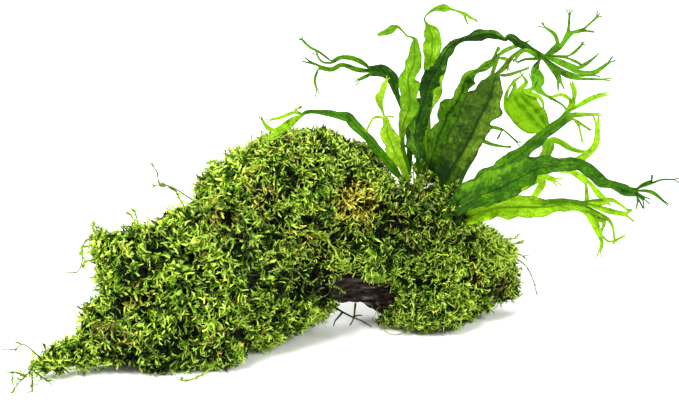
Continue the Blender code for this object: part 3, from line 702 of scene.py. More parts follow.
def mossMaterial():  # painted light and shade (the tip share) across the map, and hue up it from dead through green to gold
    material, shader, wire = startMaterial("java moss", specular=0.2)
    across, up, _ = wire.parts(wire.make("ShaderNodeUVMap", {"uv_map": "OFBake"}))
    mixed = None
    reach = 1 / len(mossColours)
    for index, codes in enumerate(mossColours.values()):
        stops = [(position, colour(code)) for position, code in zip((0.07, 0.44, 0.92), codes)]
        band = wire.make("ShaderNodeValToRGB", {"stops": stops}, {0: across})
        centre = (index + 0.5) * reach
        mixed = band if mixed is None else up.smooth(centre - reach, centre).mixed(mixed, band)
    plug(material, mixed, shader.inputs["Base Color"])
    plug(material, 0.65 - across * 0.3, shader.inputs["Roughness"])
    letThrough(material, shader, wire, mixed, moss["lightThrough"])
    return material


def patchAmount(name, across, up):
    amount = np.zeros(len(across))
    for x, y, radius, strength in mossPatches[name]:
        distance = np.hypot(across - x, up - y) / radius
        amount = np.maximum(amount, strength * np.clip(1.35 - distance, 0, 1))
    return amount


def shootHues(points):  # 0.1 is dead, 0.3 dark, 0.5 green, 0.7 lime and 0.9 gold
    across, up = seenPlaces(points)
    luck = random.random(len(points))
    hue = 0.5 + 0.16 * smoothNoise(points, 13, Vector((3, 9, 2))) + 0.2 * (luck - 0.5)
    hue += 0.1 * smoothNoise(points, 4, Vector((1, 2, 8)))
    lively = random.random(len(points))
    limes = 0.2 + 0.6 * patchAmount("lime", across, up)
    hue = np.where(lively < limes, np.maximum(hue, 0.62 + 0.12 * luck), hue)
    # dark patches take the dark hue, partly as painted shade in the mat's creases
    hue = np.where(lively > 0.78 - 0.7 * patchAmount("dark", across, up), 0.26 + 0.1 * luck, hue)
    other = random.random(len(points))
    hue = np.where(other < 0.018 + 0.8 * patchAmount("gold", across, up), 0.82 + 0.12 * luck, hue)
    other = random.random(len(points))
    return np.where(other < 0.015 + 0.7 * patchAmount("dead", across, up), 0.06 + 0.12 * luck, hue)


def shootDirections(points, facing):  # tufts share a heading, and all lean down a little
    flow = noiseVectors(points, moss["tuftSize"], Vector((5, 1, 4))) * 1.8
    flow += noiseVectors(points, 22, Vector((2, 6, 3))) * 0.9
    flow += random.normal(0, moss["wildness"], points.shape)
    flow[:, 2] -= moss["droop"]
    flow -= facing * np.sum(flow * facing, axis=1, keepdims=True)
    return unit(flow)


def buildMoss(material):
    skin = remeshed(nodeCopy("moss_mat"), moss["voxel"], 7)
    points, facing, area = sampleSkin(skin, moss["shoots"])
    for across, up, back, radius in footTufts:
        centre = np.array(placeOf(across, up, back))
        outward = unit(random.normal(0, 1, (tuftShoots, 3)) + (0, -0.5, 0.6))
        reach = random.uniform(0, radius, (tuftShoots, 1)) * mm * 0.7
        points = np.concatenate([points, centre + outward * reach])
        facing = np.concatenate([facing, outward])
    print("moss skin", round(area * 1e6), "square millimetres,", len(points), "shoots")
    count = len(points)
    clumps = smoothNoise(points, moss["clumpSize"], Vector((4, 4, 9)))
    depth = random.uniform(*moss["depth"], count)
    cover = smoothNoise(points, moss["gapSize"], Vector((7, 1, 3))) + random.normal(0, 0.08, count)
    seen = seenPlaces(points)
    # shade is the painted shade of the dark patches less the painted light of the lime ones
    shade = patchAmount("dark", *seen) - patchAmount("lime", *seen) * 0.8
    size = shootSize(points)
    cover -= shade * 0.5
    upper = (random.random(count) < moss["upper"]) & (cover > -moss["gaps"])
    wispy = moss["wisps"] * (1 + 2 * np.clip(-shade, 0, 1))
    proud = np.where(upper & (random.random(count) < wispy), random.uniform(*moss["wispRise"], count), 0)
    rise = np.where(upper, *(random.uniform(*moss[key], count) for key in ("upperRise", "lowerRise")))
    rise = np.maximum(depth + rise + clumps * moss["clumpHeight"] + proud, 0.6)
    length = np.maximum(random.uniform(*moss["length"], count) * size, rise * 1.15)
    slope = np.clip(rise / length * 0.85, 0.1, 0.95)
    flow = shootDirections(points, facing)
    heading = unit(facing * slope[:, None] + flow * np.sqrt(1 - slope ** 2)[:, None])
    bend = noiseVectors(points, moss["tuftSize"] * 0.8, Vector((8, 2, 6)))
    bend += random.normal(0, 0.4, points.shape)
    bend -= facing * random.uniform(0.1, 0.6, count)[:, None]
    curl = random.uniform(*moss["curl"], count)
    start = points - facing * depth[:, None] * mm
    start -= heading * 0.15 * length[:, None] * mm
    scale = random.uniform(0.8, 1.25, count) * size * np.where(proud > 0, 0.6, 1)
    roll = random.normal(0, 0.7, count)
    hues = shootHues(points)
    paintedLight = np.where(upper, *(random.uniform(*moss[key], count) for key in ("upperLight", "lowerShade")))
    # painted light varies in soft patches; painted shade darkens the dark patches and the clumps' hollows,
    # and painted light brightens the clumps' tops
    paintedLight *= 1 + 0.3 * smoothNoise(points, 9, Vector((6, 6, 1)))
    paintedLight = np.clip(paintedLight * (1 - moss["patchShade"] * shade) + clumps * 0.2, 0.06, 1.9)
    templates = [shootTemplate(seed) for seed in range(moss["templates"])]
    order = np.argsort(points[:, 0] + points[:, 1] * 0.4)
    for index, part in enumerate(np.array_split(order, moss["pieces"])):
        sets = layShoots(templates, start[part], heading[part], bend[part], length[part], curl[part],
                         scale[part], roll[part])
        mesh = mossMesh("moss shoots", sets, hues[part], paintedLight[part])
        addObject(f"moss_shoots_{index + 1}", mesh, material, "moss", "moss_mat")
    return skin


def strandMaterial(name, low, high):
    material, shader, wire = startMaterial(name, 0.6, 0.1)
    tone = wire.noise(wire.place(), 180)
    plug(material, tone.smooth(0.3, 0.7).mixed(opaque(low), opaque(high)), shader.inputs["Base Color"])
    return material


# Each strand is laid where the camera's sight meets the mat or the ground
def buildStrands(skin, finishes, mossFinish):
    tree = meshTree(skin)
    eye = (eyePoint - Vector(camera["footprintCentre"])) * mm
    templates = [shootTemplate(seed) for seed in range(30, 34)]
    for name, routes in strands.items():
        shape = bmesh.new()
        starts, headings = [], []
        for route, radius in routes:
            sights = [(placeOf(across, up, 0) - eye).normalized() for across, up in route]
            depths = [tree.ray_cast(eye, sight)[3] for sight in sights]
            known = [index for index, depth in enumerate(depths) if depth is not None]
            if not known:  # a strand beside the fern's foot
                known, depths[0] = [0], (placeOf(*route[0], -4) - eye).length
            points = []
            for index, sight in enumerate(sights):
                reach = depths[min(known, key=lambda other: abs(other - index))] - strandLift * mm
                if sight.z < 0:
                    reach = min(reach, (radius * mm - eye.z) / sight.z)
                points.append(eye + sight * reach)
            line = curveThrough(points, 5)
            for point in line:
                point += noise.noise_vector(point / (3 * mm)) * 0.5 * mm
            addTube(shape, line, radius, 0.6, sides=5)
            for index in range(1, len(line) - 1):
                for _ in range(2):
                    starts.append(line[index] + Vector(random.normal(0, 0.1, 3)) * mm)
                    heading = directionAt(line, index) + Vector(random.normal(0, 0.35, 3))
                    headings.append(heading.normalized())
        mesh = smoothMesh(shape, "strands")
        addObject(f"moss_strands_{name}", mesh, finishes[name], "moss", "moss_mat")
        sets = clothe(templates, starts, headings, strandShoots)
        total = len(starts)
        hues = np.full(total, 0.72 if name == "lime" else 0.4) + random.normal(0, 0.08, total)
        mesh = mossMesh("strand shoots", sets, hues, random.uniform(0.7, 1.2, total))
        addObject(f"moss_strand_shoots_{name}", mesh, mossFinish, "moss", "moss_mat")


def buildStems(skin, material):  # thin bare stems that wander over the mat
    tree = meshTree(skin)
    starts, _, _ = sampleSkin(skin, moss["stems"])
    shape = bmesh.new()
    for point in starts:
        place = Vector(point)
        heading = Vector(random.normal(0, 1, 3)).normalized()
        route = []
        for step in range(int(random.integers(5, 11))):
            near, normal, _, _ = tree.find_nearest(place)
            height = 0.9 + 1.3 * noise.noise(near / (4 * mm)) + (0.8 if step % 3 == 1 else 0)
            route.append(near + normal * height * mm)
            heading = (heading + Vector(random.normal(0, 0.45, 3))).normalized()
            heading = (heading - normal * heading.dot(normal)).normalized()
            place = near + heading * 2 * mm
        addTube(shape, curveThrough(route, 1), moss["stemRadius"] * random.uniform(0.7, 1.3), 0.5, sides=4)
    addObject("moss_stems", smoothMesh(shape, "moss stems"), material, "moss", "moss_mat")


def buildStrays(material, stalkFinish):
    templates = [shootTemplate(seed) for seed in range(20, 24)]
    for name, routes in strays.items():
        stalks = bmesh.new()
        starts, headings = [], []
        for route, count in routes:
            line = curveThrough([placeOf(*point) for point in route], 3)
            addTube(stalks, line, strayRadius, 0.45, sides=5)
            for share in (np.arange(count) + random.uniform(0.1, 0.9, count)) / count * 0.97:
                index = int(share * (len(line) - 1))
                start = line[index].lerp(line[index + 1], share * (len(line) - 1) - index)
                heading = directionAt(line, index) + Vector(random.normal(0, 0.5, 3))
                starts.append(start)
                headings.append(heading.normalized())
        mesh = smoothMesh(stalks, "stalks")
        addObject(f"runner_{name}_stalk", mesh, stalkFinish, "runner", "runner_" + name)
        sets = clothe(templates, starts, headings, strayShoots)
        total = len(starts)
        hues = np.clip(0.62 + random.normal(0, 0.12, total), 0.06, 0.94)
        mesh = mossMesh("stray shoots", sets, hues, random.uniform(0.7, 1.1, total))
        addObject(f"runner_{name}_shoots", mesh, material, "runner", "runner_" + name)


def buildUnderlay():  # the dark, packed inside of the mat that shows between the shoots, near black partly as painted shade in the gaps
    skin = remeshed(nodeCopy("moss_mat"), moss["underlayVoxel"], 5)
    shape = bmesh.new()
    shape.from_mesh(skin)
    shape.normal_update()
    tree = meshTree(skin)
    sunk = []
    for vertex in shape.verts:
        sink = moss["underlayDepth"] + noise.noise(vertex.co / (5 * mm)) * moss["underlayRough"]
        inward = -vertex.normal
        thick = tree.ray_cast(vertex.co + inward * 0.05 * mm, inward)[3]
        if thick is not None:
            sink = min(sink, thick / mm * moss["underlayShare"])
        sunk.append(vertex.co + inward * sink * mm)
    for vertex, place in zip(shape.verts, sunk):
        vertex.co = (place.x, place.y, max(place.z, 0.1 * mm))
    material, shader, wire = startMaterial("packed moss and painted shade", 0.85, 0.05)
    fibres = wire.noise(wire.place(), 700, 4, 0.7)
    # near-black colours, partly the packed stems' own dark and partly painted shade in the gaps between
    # shoots
    packed = (opaque(code) for code in moss["underlayShadedColours"])
    final = fibres.smooth(0.45, 0.75).mixed(*packed)
    plug(material, final, shader.inputs["Base Color"])
    addBump(material, shader, wire, fibres, 0.0012, 0.9)
    addObject("moss_underlay", smoothMesh(shape, "moss underlay"), material, "moss", "moss_mat")


# Twigs that hang under the arch, in front of the way through, and loops of stem beside its foot
twigRadius = 0.48
loopRadius = 0.26
twigs = [
    [(-6, 14, -8), (-3.6, 12.4, -11), (0.2, 10, -13), (4.4, 7.9, -13), (8, 6.4, -13), (12, 4, -12)],
    [(0.2, 10, -13), (-1.4, 8, -14), (-2.7, 6.5, -14), (-3.4, 4.4, -14)],
    [(4.4, 7.9, -13), (6, 8.6, -13), (8, 8.7, -12)],
    [(5.4, 13.4, -8), (5.1, 11, -11), (4.9, 9, -13), (4.2, 6.4, -13), (3, 4.6, -13)],
]
loops = [
    [(14.6, 8, -6), (15.6, 5.9, -6), (16.6, 3.2, -5), (18.7, 1.5, -4), (22.4, 0.9, -3), (26, 2.6, -1)],
    [(17, 5, -4), (18.6, 3.4, -3), (21, 2.9, -2), (24.4, 3.6, 0)],
]


def buildTwigs(name, routes, radius, material):
    shape = bmesh.new()
    for route in routes:
        addTube(shape, curveThrough([placeOf(*point) for point in route], 3), radius, 0.5, sides=6)
    addObject(name, smoothMesh(shape, name), material, "moss", "moss_mat")


# Fern

# A frond is a route of (across, up, back, half width), then what its end forks into: a list of
# branches of the same kind, or a number of small tips
frondShapes = {
    "frond_tall_arching": (
        [(31, 61, 7, 1.6), (31, 70, 5, 2.9), (29.6, 77, 4, 3.5), (29.2, 82, 3, 3.9), (30.2, 87, 2, 4.3),
         (31.4, 91, 1, 4), (32.8, 95, 0, 2.9), (33.6, 99, -1.5, 2.9), (35.6, 103.5, -4, 3.5),
         (38.6, 107.5, -7, 3.3), (40.2, 111, -8.5, 2.2), (42, 114.6, -9.5, 2), (44.5, 117, -10.5, 1.7),
         (48, 119, -12, 1.1), (52, 120, -14, 1.5), (56, 121, -16, 2.1), (60, 121, -18, 2.1),
         (63, 120, -19, 1.4), (65, 119, -19, 1), (67, 120, -20, 1.8), (70, 118, -20, 1.7),
         (73, 116.6, -21, 1.1), (76, 114.8, -22, 0.8), (80, 112, -22, 1.3)],
        [
            ([(77, 113, -24, 0.9), (74, 114.6, -25, 0.8), (71.4, 113.8, -25, 0.7),
              (69.4, 111, -25, 0.4)], 0),
            ([(77, 111.2, -24, 0.7), (73.8, 111.2, -24, 0.5), (71, 110.2, -24, 0.4)], 0),
            ([(84, 114, -24, 1.4), (87, 117, -26, 1.7)], [
                ([(85, 121, -29, 0.8), (81, 124, -30, 0.4)], 0),
                ([(91, 122, -27, 1.3)], [
                    ([(91, 129, -29, 0.4)], 0),
                    ([(97, 123, -27, 0.9)], [([(102, 128, -27, 0.4)], 0), ([(101, 122, -28, 0.4)], 0)]),
                ]),
            ]),
            ([(90, 112, -21, 0.8)], [
                ([(93, 114, -20, 0.6), (96, 117, -19, 0.4)], 0),
                ([(94, 110, -20, 0.6)], 1),
            ]),
            ([(87, 110, -24, 1.3), (94, 107, -26, 1.4)], [
                ([(97, 109, -28, 0.9), (100, 111, -29, 0.5)], 1),
                ([(101, 106, -27, 0.9), (107, 110, -29, 0.5)], 0),
            ]),
            ([(88, 106, -19, 1.3), (94, 104, -18, 1.2)], [
                ([(101, 105, -17, 0.6)], 0),
                ([(105, 103, -19, 0.4)], 0),
            ]),
            ([(86, 105, -22, 1.2), (87, 102, -22, 0.9)], 2),
            ([(77, 107, -25, 1.7), (79, 103, -27, 2.6), (78, 100, -28, 1.8), (81, 97, -29, 0.6)], [
                ([(88, 93, -30, 0.4), (90, 90, -31, 0.3)], 0),
            ]),
        ]),
    "frond_upright_left": (
        [(27.4, 63.5, 10, 0.8), (25.6, 70, 8, 1), (24.2, 77, 4, 1.1), (24.2, 83, 0, 1.4),
         (25.4, 87.5, -3.5, 2.7), (27, 92, -5.5, 3.8), (27, 97.5, -6, 3.7), (26.4, 103, -5, 3.7),
         (28, 107, -4, 3), (29, 110.5, -3, 2.9), (28.9, 114, -2, 2.6), (29.1, 117, -1, 1.5),
         (29, 119, 0, 0.8), (27.6, 120, 0, 0.4), (26, 120.4, 0, 0.4), (24, 122.6, 0, 0.4),
         (22, 124, 0, 0.8), (20, 123, 0, 1.6), (18, 122, 0, 1.1), (15, 121, 0, 0.8), (14, 121, 0, 0.4)],
        0),
    "frond_upright_back": (
        [(33, 60, 11, 1.1), (33, 76, 15, 2.2), (33, 88, 18, 2.5), (34, 93, 20, 2.7), (36, 97, 21, 3.2),
         (37, 102, 23, 3.4), (37, 106, 24, 3.4), (35, 109, 25, 2.9), (36, 113, 25, 3.2), (36, 117, 26, 3.8),
         (36, 120, 27, 3.5), (35, 123, 28, 2.4), (34, 125, 28, 0.8), (33, 127, 28, 0.4), (34, 129, 28, 0.4),
         (37, 131, 28, 0.9), (40, 131.5, 28, 1.5), (42, 131.5, 28, 1.4), (44, 131, 28, 0.5),
         (47, 130, 28, 0.5), (49, 129, 28, 0.8)],
        [([(51, 128, 28, 0.7), (53, 127, 28, 0.4)], 0), ([(49.5, 127, 27, 0.4), (50.5, 125, 27, 0.4)], 0)]),
    "frond_left_arching": (
        [(27, 64, 13, 0.8), (27, 76, 16, 1.2), (26, 86, 20, 1.1), (24, 92, 22, 0.9), (22, 97, 24, 1),
         (21, 100, 25, 1.7), (20, 104, 26, 2.6), (17, 106, 27, 2.5), (14, 106.5, 28, 2.3),
         (11, 106.5, 29, 2.3)],
        [
            ([(9, 104, 28, 0.8), (7, 103, 28, 0.5)], 0),
            ([(6, 107, 30, 1.1), (0, 109, 30, 0.9), (-4, 107, 30, 1), (-9, 108, 30, 1)], [
                ([(-11, 103, 29, 0.6), (-10, 99, 28, 0.4)], 0),
                ([(-13, 110, 31, 0.7)], 2),
            ]),
            ([(6, 111, 28, 1.1), (0, 112, 27, 0.9), (-4, 110, 27, 0.8)], [
                ([(-8, 110, 26, 0.5), (-10, 113, 26, 0.4)], 0),
                ([(-9, 114, 28, 0.5), (-13, 116, 28, 0.5), (-16, 119, 29, 0.5)], 0),
            ]),
        ]),
    "frond_young_left": (
        [(27, 62, 3, 0.9), (25, 66, -1, 1.3), (23, 70, -5, 2), (21, 74, -7, 2.8), (19, 79, -9, 3.6),
         (18, 82, -9, 3), (18, 85, -10, 1.4), (17, 88, -10, 1)],
        [
            ([(14, 88, -9, 0.6), (12, 87, -8, 0.4), (10, 83, -7, 0.4)], 0),
            ([(16, 91, -11, 0.6), (15, 94, -12, 1.4), (15, 96, -12, 1.8), (16, 98, -12, 1.1),
              (17, 101, -12, 1.2), (18, 103, -12, 0.5)], 0),
            ([(21, 88, -12, 0.4)], 0),
        ]),
    "frond_over_moss": (
        [(24, 63, 8, 0.9), (20, 68, 5, 1.8), (15, 74, 1, 1.8), (10, 80, -2, 1.6), (5, 85, -3, 1.9),
         (2, 88, -4, 2), (-3, 89, -5, 1.4), (-9, 90, -7, 1), (-14, 90, -8, 0.7), (-16, 89, -9, 0.8)],
        [
            ([(-19, 87, -11, 1.4), (-23, 84, -14, 1.8), (-27, 82, -17, 1.4)], [
                ([(-30, 84, -18, 0.9), (-32, 87, -18, 0.4)], 0),
                ([(-30, 79, -20, 0.6)], 0),
            ]),
            ([(-19, 90, -12, 0.6), (-24, 88, -13, 0.7), (-28, 87, -14, 0.4)], 0),
        ]),
    "frond_broad_back": (
        [(33, 61, 9, 1.3), (35, 67, 10, 3), (37.2, 74, 11, 3.9), (39.4, 80.5, 12, 4.7), (41.4, 85, 12, 4.3),
         (43.4, 89.5, 13, 5.3), (46.6, 93.5, 13, 4.4), (48.4, 98, 13, 3), (49.6, 101.6, 13, 2.8),
         (51.4, 104.4, 12.5, 2.3), (54.2, 106.4, 12, 1.2), (57, 108, 12, 1.5), (60, 109.5, 11, 1.6),
         (62, 112, 10, 1.3)],
        [
            ([(63, 116, 9, 0.8)], 0),
            ([(66, 115, 8, 0.9), (72, 117, 5, 0.7)], 1),
            ([(66, 111, 9, 0.8), (66, 108, 7, 0.7)], 0),
        ]),
    "frond_broad_front": (
        [(39, 57, 4, 1.6), (41, 63, 2, 4.1), (43.4, 68, 0, 5.3), (45.8, 72.5, -2, 6), (48.4, 77, -5, 6.4),
         (50.9, 82, -7, 6.7), (53.2, 87.4, -9, 7.1), (55.8, 92.4, -11, 7.3), (58.2, 97, -12, 6.6),
         (59.8, 101.4, -13, 4.2), (61, 105, -14, 2)],
        [
            ([(62, 111, -15, 0.8)], 0),
            ([(65, 108, -14, 1.1), (68, 112, -14, 0.8), (72, 115, -14, 0.6)], 0),
            ([(67, 105, -14, 0.7), (73, 107, -16, 0.4)], 0),
        ]),
    "frond_antlered": (
        [(43, 52, 9, 0.9), (49, 57, 13, 2.6), (56, 62.4, 18, 3.6), (64, 67.6, 22, 3.8), (71.4, 73, 26, 2.9),
         (78, 78.6, 29, 2.3), (85, 84, 33, 2), (91, 89, 35, 2.2)],
        [
            ([(92, 93, 35, 1.4), (92, 95, 35, 1.5)], [
                ([(88, 97, 34, 0.8), (84, 96, 32, 0.5)], 0),
                ([(93, 98, 35, 1.1), (92, 101, 35, 0.9)], 0),
            ]),
            ([(97, 94, 36, 1.1), (101, 96, 38, 1), (105, 97, 39, 0.9)], 0),
            ([(97, 89, 37, 0.9), (102, 89, 38, 0.6)], 0),
            ([(95, 85, 35, 1.1)], [([(99, 83, 36, 0.5)], 0), ([(96, 79, 33, 0.4)], 0)]),
        ]),
    "frond_long_right": (
        [(39, 48, 2, 1.2), (46, 53, -4, 4.4), (54, 58, -9, 6.2), (62, 61, -14, 6.8), (70, 65, -18, 6),
         (78, 68.4, -21, 4.2), (87, 69.2, -24, 2.7), (94, 69, -26, 2.5), (99, 66.6, -27, 2.5),
         (104, 62, -28, 2.2), (109, 60.6, -29, 1.7), (113.5, 58.6, -29, 2.2), (118, 58, -30, 1.8)],
        [
            ([(121, 61, -31, 1), (124, 62, -32, 0.9)], [
                ([(124, 65, -32, 0.4)], 0),
                ([(128, 63, -34, 0.4), (133, 63, -35, 0.3)], 0),
            ]),
            ([(124, 58, -31, 0.8), (129, 54, -33, 0.4)], 0),
            ([(120.6, 55.4, -29, 1)], 3),
            ([(118.4, 54.6, -27, 0.8)], 2),
        ]),
    "frond_low_right": (
        [(46, 47, 3, 1.2), (53, 49, -2, 4), (61, 51.5, -6, 4.4), (69, 52, -9, 4.5), (75, 52, -11, 4.2),
         (82, 52, -12, 3.3), (89, 53, -13, 2.3), (97, 52, -14, 2.6)],
        [
            ([(104, 54, -15, 1.6), (108, 55, -16, 0.8), (114, 51, -18, 0.4)], 0),
            ([(105, 51, -16, 1.2), (109, 50, -17, 1.1), (114, 49, -18, 1)], [
                ([(116, 51, -19, 0.4)], 0),
                ([(117, 46, -18, 0.4)], 0),
            ]),
            ([(105, 48, -12, 0.9), (108, 45, -12, 0.6), (109, 39, -12, 0.4)], 0),
            ([(103, 47, -13, 0.9), (105, 46, -13, 0.8), (104, 43, -13, 0.5)], 0),
            ([(100, 48, -14, 2), (103, 41, -14, 1.1)], [
                ([(107, 38, -15, 0.5), (112, 40, -16, 0.4)], 0),
                ([(104, 38, -14, 0.8), (103.2, 34.4, -13, 0.6)], 2),
            ]),
        ]),
    "frond_rounded_back": (
        [(45, 50, 10, 1), (56, 56, 18, 1.4), (68, 62, 26, 1.8), (78, 68, 33, 2.2), (82, 74, 38, 2.4),
         (82.5, 79, 41, 2.4)],
        [
            ([(80.5, 83, 43, 3.6), (77, 87, 45, 6.4), (73.3, 91, 46.5, 7.3), (70.2, 94.3, 47, 6.8),
              (68.4, 96.6, 47, 4.8)], [
                ([(66.2, 98.4, 46, 0.6), (67.6, 100.8, 47, 0.4)], 1),
                ([(69.2, 99.6, 48, 0.9), (68.6, 102, 49, 0.8), (70.6, 103.6, 49, 0.4)], 1),
                ([(71.8, 99.6, 47, 1), (73.8, 101.8, 47, 0.8), (72.6, 104, 47, 0.4)], 1),
                ([(74.4, 98.6, 46, 0.9), (76.6, 99.8, 45, 0.7), (76, 102.4, 45, 0.4)], 1),
                ([(76, 97, 45, 1), (78.8, 96, 44, 0.8), (80.4, 93.6, 44, 0.6), (80.6, 91.2, 44, 0.4)], 1),
            ]),
            ([(87, 78, 42, 1.3), (92, 75, 44, 1.1), (97, 74, 46, 0.7)], 0),
        ]),
    "frond_slender_right": (
        [(47, 47, 10, 1), (59, 53, 13, 1.5), (70, 59, 14, 1.8), (80, 65, 14, 2.2)],
        [
            ([(87, 69, 16, 1.2), (95, 71, 17, 1.5), (100, 75, 19, 1.4), (102, 79, 20, 1.2),
              (102, 86, 21, 1)], 2),
            ([(89, 67, 11, 1.3), (94, 65, 9, 1.3), (98, 62, 7, 1.3)], [
                ([(102, 58, 6, 1.2), (105, 55, 6, 1)], 1),
                ([(98, 55, 6, 0.9)], 0),
            ]),
            ([(85, 62.6, 12, 1.2)], 3),
            ([(80, 61, 13, 1.6), (76, 55, 12, 0.9)], 0),
        ]),
    "frond_slender_back": (
        [(42, 51, 11, 0.8), (47, 63, 17, 1.4), (52, 73, 22, 1.7), (55, 79, 25, 1.4)],
        [
            ([(58, 84, 27, 0.8), (64, 83, 29, 0.7)], [
                ([(70, 78, 30, 0.4)], 0),
                ([(62, 79, 29, 0.4)], 0),
            ]),
            ([(60, 77, 26, 0.7), (66, 76, 28, 0.4)], 0),
        ]),
}
fern = {
    "thickness": 0.34,
    "lightThrough": 0.2,
    "crumpled": 0.9,
    "fold": 0.2,  # how far the edges rise over the midrib, by half width
    "edges": 6,  # across a blade
    "rowsBetween": 3,
    "crestRows": 2,
    "tipLength": 3.4,
    "tipHalfWidth": 0.22,
    "tipSpread": math.radians(38),
    "forkLength": (1.2, 2.6),  # of the tiny forks that end each branch of a crest
    "forkFrom": 4.5,  # the shortest branch that ends in tiny forks
    "veinSpacing": 3.4,
    "veinSlant": 2.6,
    "bulge": 0.2,
    "crinkleSize": 3.2,
    "crinkle": 0.42,
    "waveLength": 8.5,
    "wave": 0.16,  # of the margin's ripple out of the blade, by half width
    "marginWave": 0.45,  # of the margin in and out, by half width
    "marginLength": 4.5,
    "crestCrumple": 0.4,  # of a crest, by what its blade has
    "patchEdge": (8, 0.16),  # over what a stretch fades, along and across
    "spots": "1E2408",
    "bump": 0.0005,
}
# Each leaf finish: dark, middle and bright greens, the crest's green and the midrib's, and its spots
leafFinishes = {
    "arching": ("0C2C00", "224E00", "5E901A", "5C980A", "3E6A10", 0.2),
    "broad": ("163C02", "4E8208", "80AC24", "669C10", "2C5604", 0.3),
    "spotted": ("102A00", "38580A", "64841C", "5C8A10", "162E02", 0.9),
    "long": ("103200", "306202", "649A10", "468006", "7E8E50", 0.25, 0.06),
    "fresh": ("224C00", "427802", "6CA40C", "8EC40A", "2E5A02", 0.0),
    "low": ("467600", "8CC20A", "BCE42C", "9CD010", "68980A", 0.0),
    "round": ("4E8400", "689E04", "8EC41C", "80B40C", "508002", 0.0),
    "lime": ("4C8000", "76A808", "AED440", "84B410", "5E8E04", 0.0),
    "leafy": ("3E7000", "629406", "92B82E", "78AA10", "508004", 0.0),
    "pale": ("527E02", "80AC0C", "AED440", "90BC12", "6C9408", 0.0),
}
# For each frond: its finish and slot, how far it turns about its own length in degrees from its
# root to its end, how crumpled it is, how far its midrib lies aside by half width, and stretches
# of painted light and shade: from and to along it in millimetres, from and to across it as shares,
# and how much painted light or, below 0, painted shade
frondLooks = {
    "frond_tall_arching": {
        "finish": "arching", "slot": "dark_leaf", "twist": (25, 20), "crumpled": 1.3,
        "stretches": [(16, 38, 0.0, 0.45, 0.45), (42, 60, 0.0, 0.5, -0.5), (70, 110, 0.5, 1.0, -0.4),
                      (60, 95, 0.0, 0.4, 0.4)]},
    "frond_upright_left": {
        "finish": "leafy", "slot": "lime_leaf", "twist": (-20, 25),
        "stretches": [(0, 25, 0.5, 1.0, -0.5), (25, 36, 0.1, 1.0, 0.8), (37, 44, 0.5, 1.0, -0.4)]},
    "frond_upright_back": {
        "finish": "lime", "slot": "lime_leaf", "twist": (30, -25), "stretches": [(10, 70, 0.0, 0.4, -0.3)]},
    "frond_left_arching": {"finish": "arching", "slot": "dark_leaf", "twist": (15, -20)},
    "frond_young_left": {"finish": "pale", "slot": "lime_leaf", "twist": (10, 15)},
    "frond_over_moss": {"finish": "fresh", "slot": "lime_leaf", "twist": (15, -20)},
    "frond_broad_back": {
        "finish": "broad", "slot": "dark_leaf", "twist": (20, -20), "crumpled": 1.2, "lean": -0.15,
        "stretches": [(0, 60, 0.0, 0.3, 0.35), (20, 60, 0.45, 0.9, -0.35), (0, 14, 0.0, 1.0, -0.6)]},
    "frond_broad_front": {
        "finish": "spotted", "slot": "dark_leaf", "twist": (-20, 15), "crumpled": 0.65, "lean": 0.2,
        "stretches": [(0, 60, 0.62, 1.0, 0.55), (0, 50, 0.1, 0.5, -0.3), (0, 16, 0.0, 1.0, -0.6)]},
    "frond_antlered": {
        "finish": "fresh", "slot": "dark_leaf", "twist": (20, 0),
        "stretches": [(0, 30, 0.0, 0.5, 0.4), (30, 70, 0.5, 1.0, -0.3)]},
    "frond_long_right": {
        "finish": "long", "slot": "dark_leaf", "twist": (20, -5), "crumpled": 0.8, "lean": 0.28,
        "stretches": [(18, 50, 0.0, 0.2, 0.8), (60, 84, 0.2, 0.6, 0.3), (90, 120, 0.3, 0.8, -0.5),
                      (0, 12, 0.0, 1.0, -0.4)]},
    "frond_low_right": {
        "finish": "low", "slot": "lime_leaf", "twist": (-20, 15),
        "stretches": [(36, 64, 0.0, 0.42, -0.9), (0, 34, 0.0, 0.3, 0.3)]},
    "frond_rounded_back": {
        "finish": "round", "slot": "lime_leaf", "twist": (10, -20), "crumpled": 1.2,
        "stretches": [(62, 84, 0.46, 0.54, -1.4), (60, 82, 0.58, 0.66, 0.9), (60, 80, 0.72, 0.8, -1.3),
                      (60, 84, 0.05, 0.4, 0.35)]},
    "frond_slender_right": {"finish": "low", "slot": "lime_leaf", "twist": (20, 0)},
    "frond_slender_back": {"finish": "arching", "slot": "dark_leaf", "twist": (15, 0)},
}


# Put a row of corners across a blade, which twists, folds along its midrib and has wavy margins
def setRow(row, centre, direction, halfWidth, twist, along, crumpled, lean):
    side = Matrix.Rotation(twist, 3, direction) @ eyeForward.cross(direction).normalized()
    face = side.cross(direction)
    last = len(row) - 1
    for index, point in enumerate(row):
        across = 2 * index / last - 1
        notch = noise.noise(Vector((along / fern["marginLength"], 9 if across > 0 else 2, twist)))
        notch *= fern["marginWave"] * crumpled
        outward = side * (across * (1 + notch * abs(across)) + lean * (1 - across * across))
        point.co = centre + (outward + face * fern["fold"] * abs(across)) * halfWidth * mm


def splitRow(shape, row, wanted):
    cuts = math.ceil(wanted / (len(row) - 1)) - 1
    finer = [row[0]]
    for start, end in zip(row, row[1:]):
        for left in range(cuts, 0, -1):
            _, start = bmesh.utils.edge_split(shape.edges.get((start, end)), start, 1 / (left + 1))
            finer.append(start)
        finer.append(end)
    return finer


def seenAngle(start, end):
    return math.atan2(end[1] - start[1], end[0] - start[0])


def smallTips(end, heading, count, length, halfWidth):
    tips = []
    for index in range(count):
        angle = heading + fern["tipSpread"] * ((count - 1) / 2 - index) + random.normal(0, 0.15)
        reach = length * random.uniform(0.8, 1.2)
        across = end[0] + math.cos(angle) * reach
        up = end[1] + math.sin(angle) * reach
        tips.append(([(across, up, end[2] + random.normal(0, 0.3), halfWidth)], 0))
    return tips


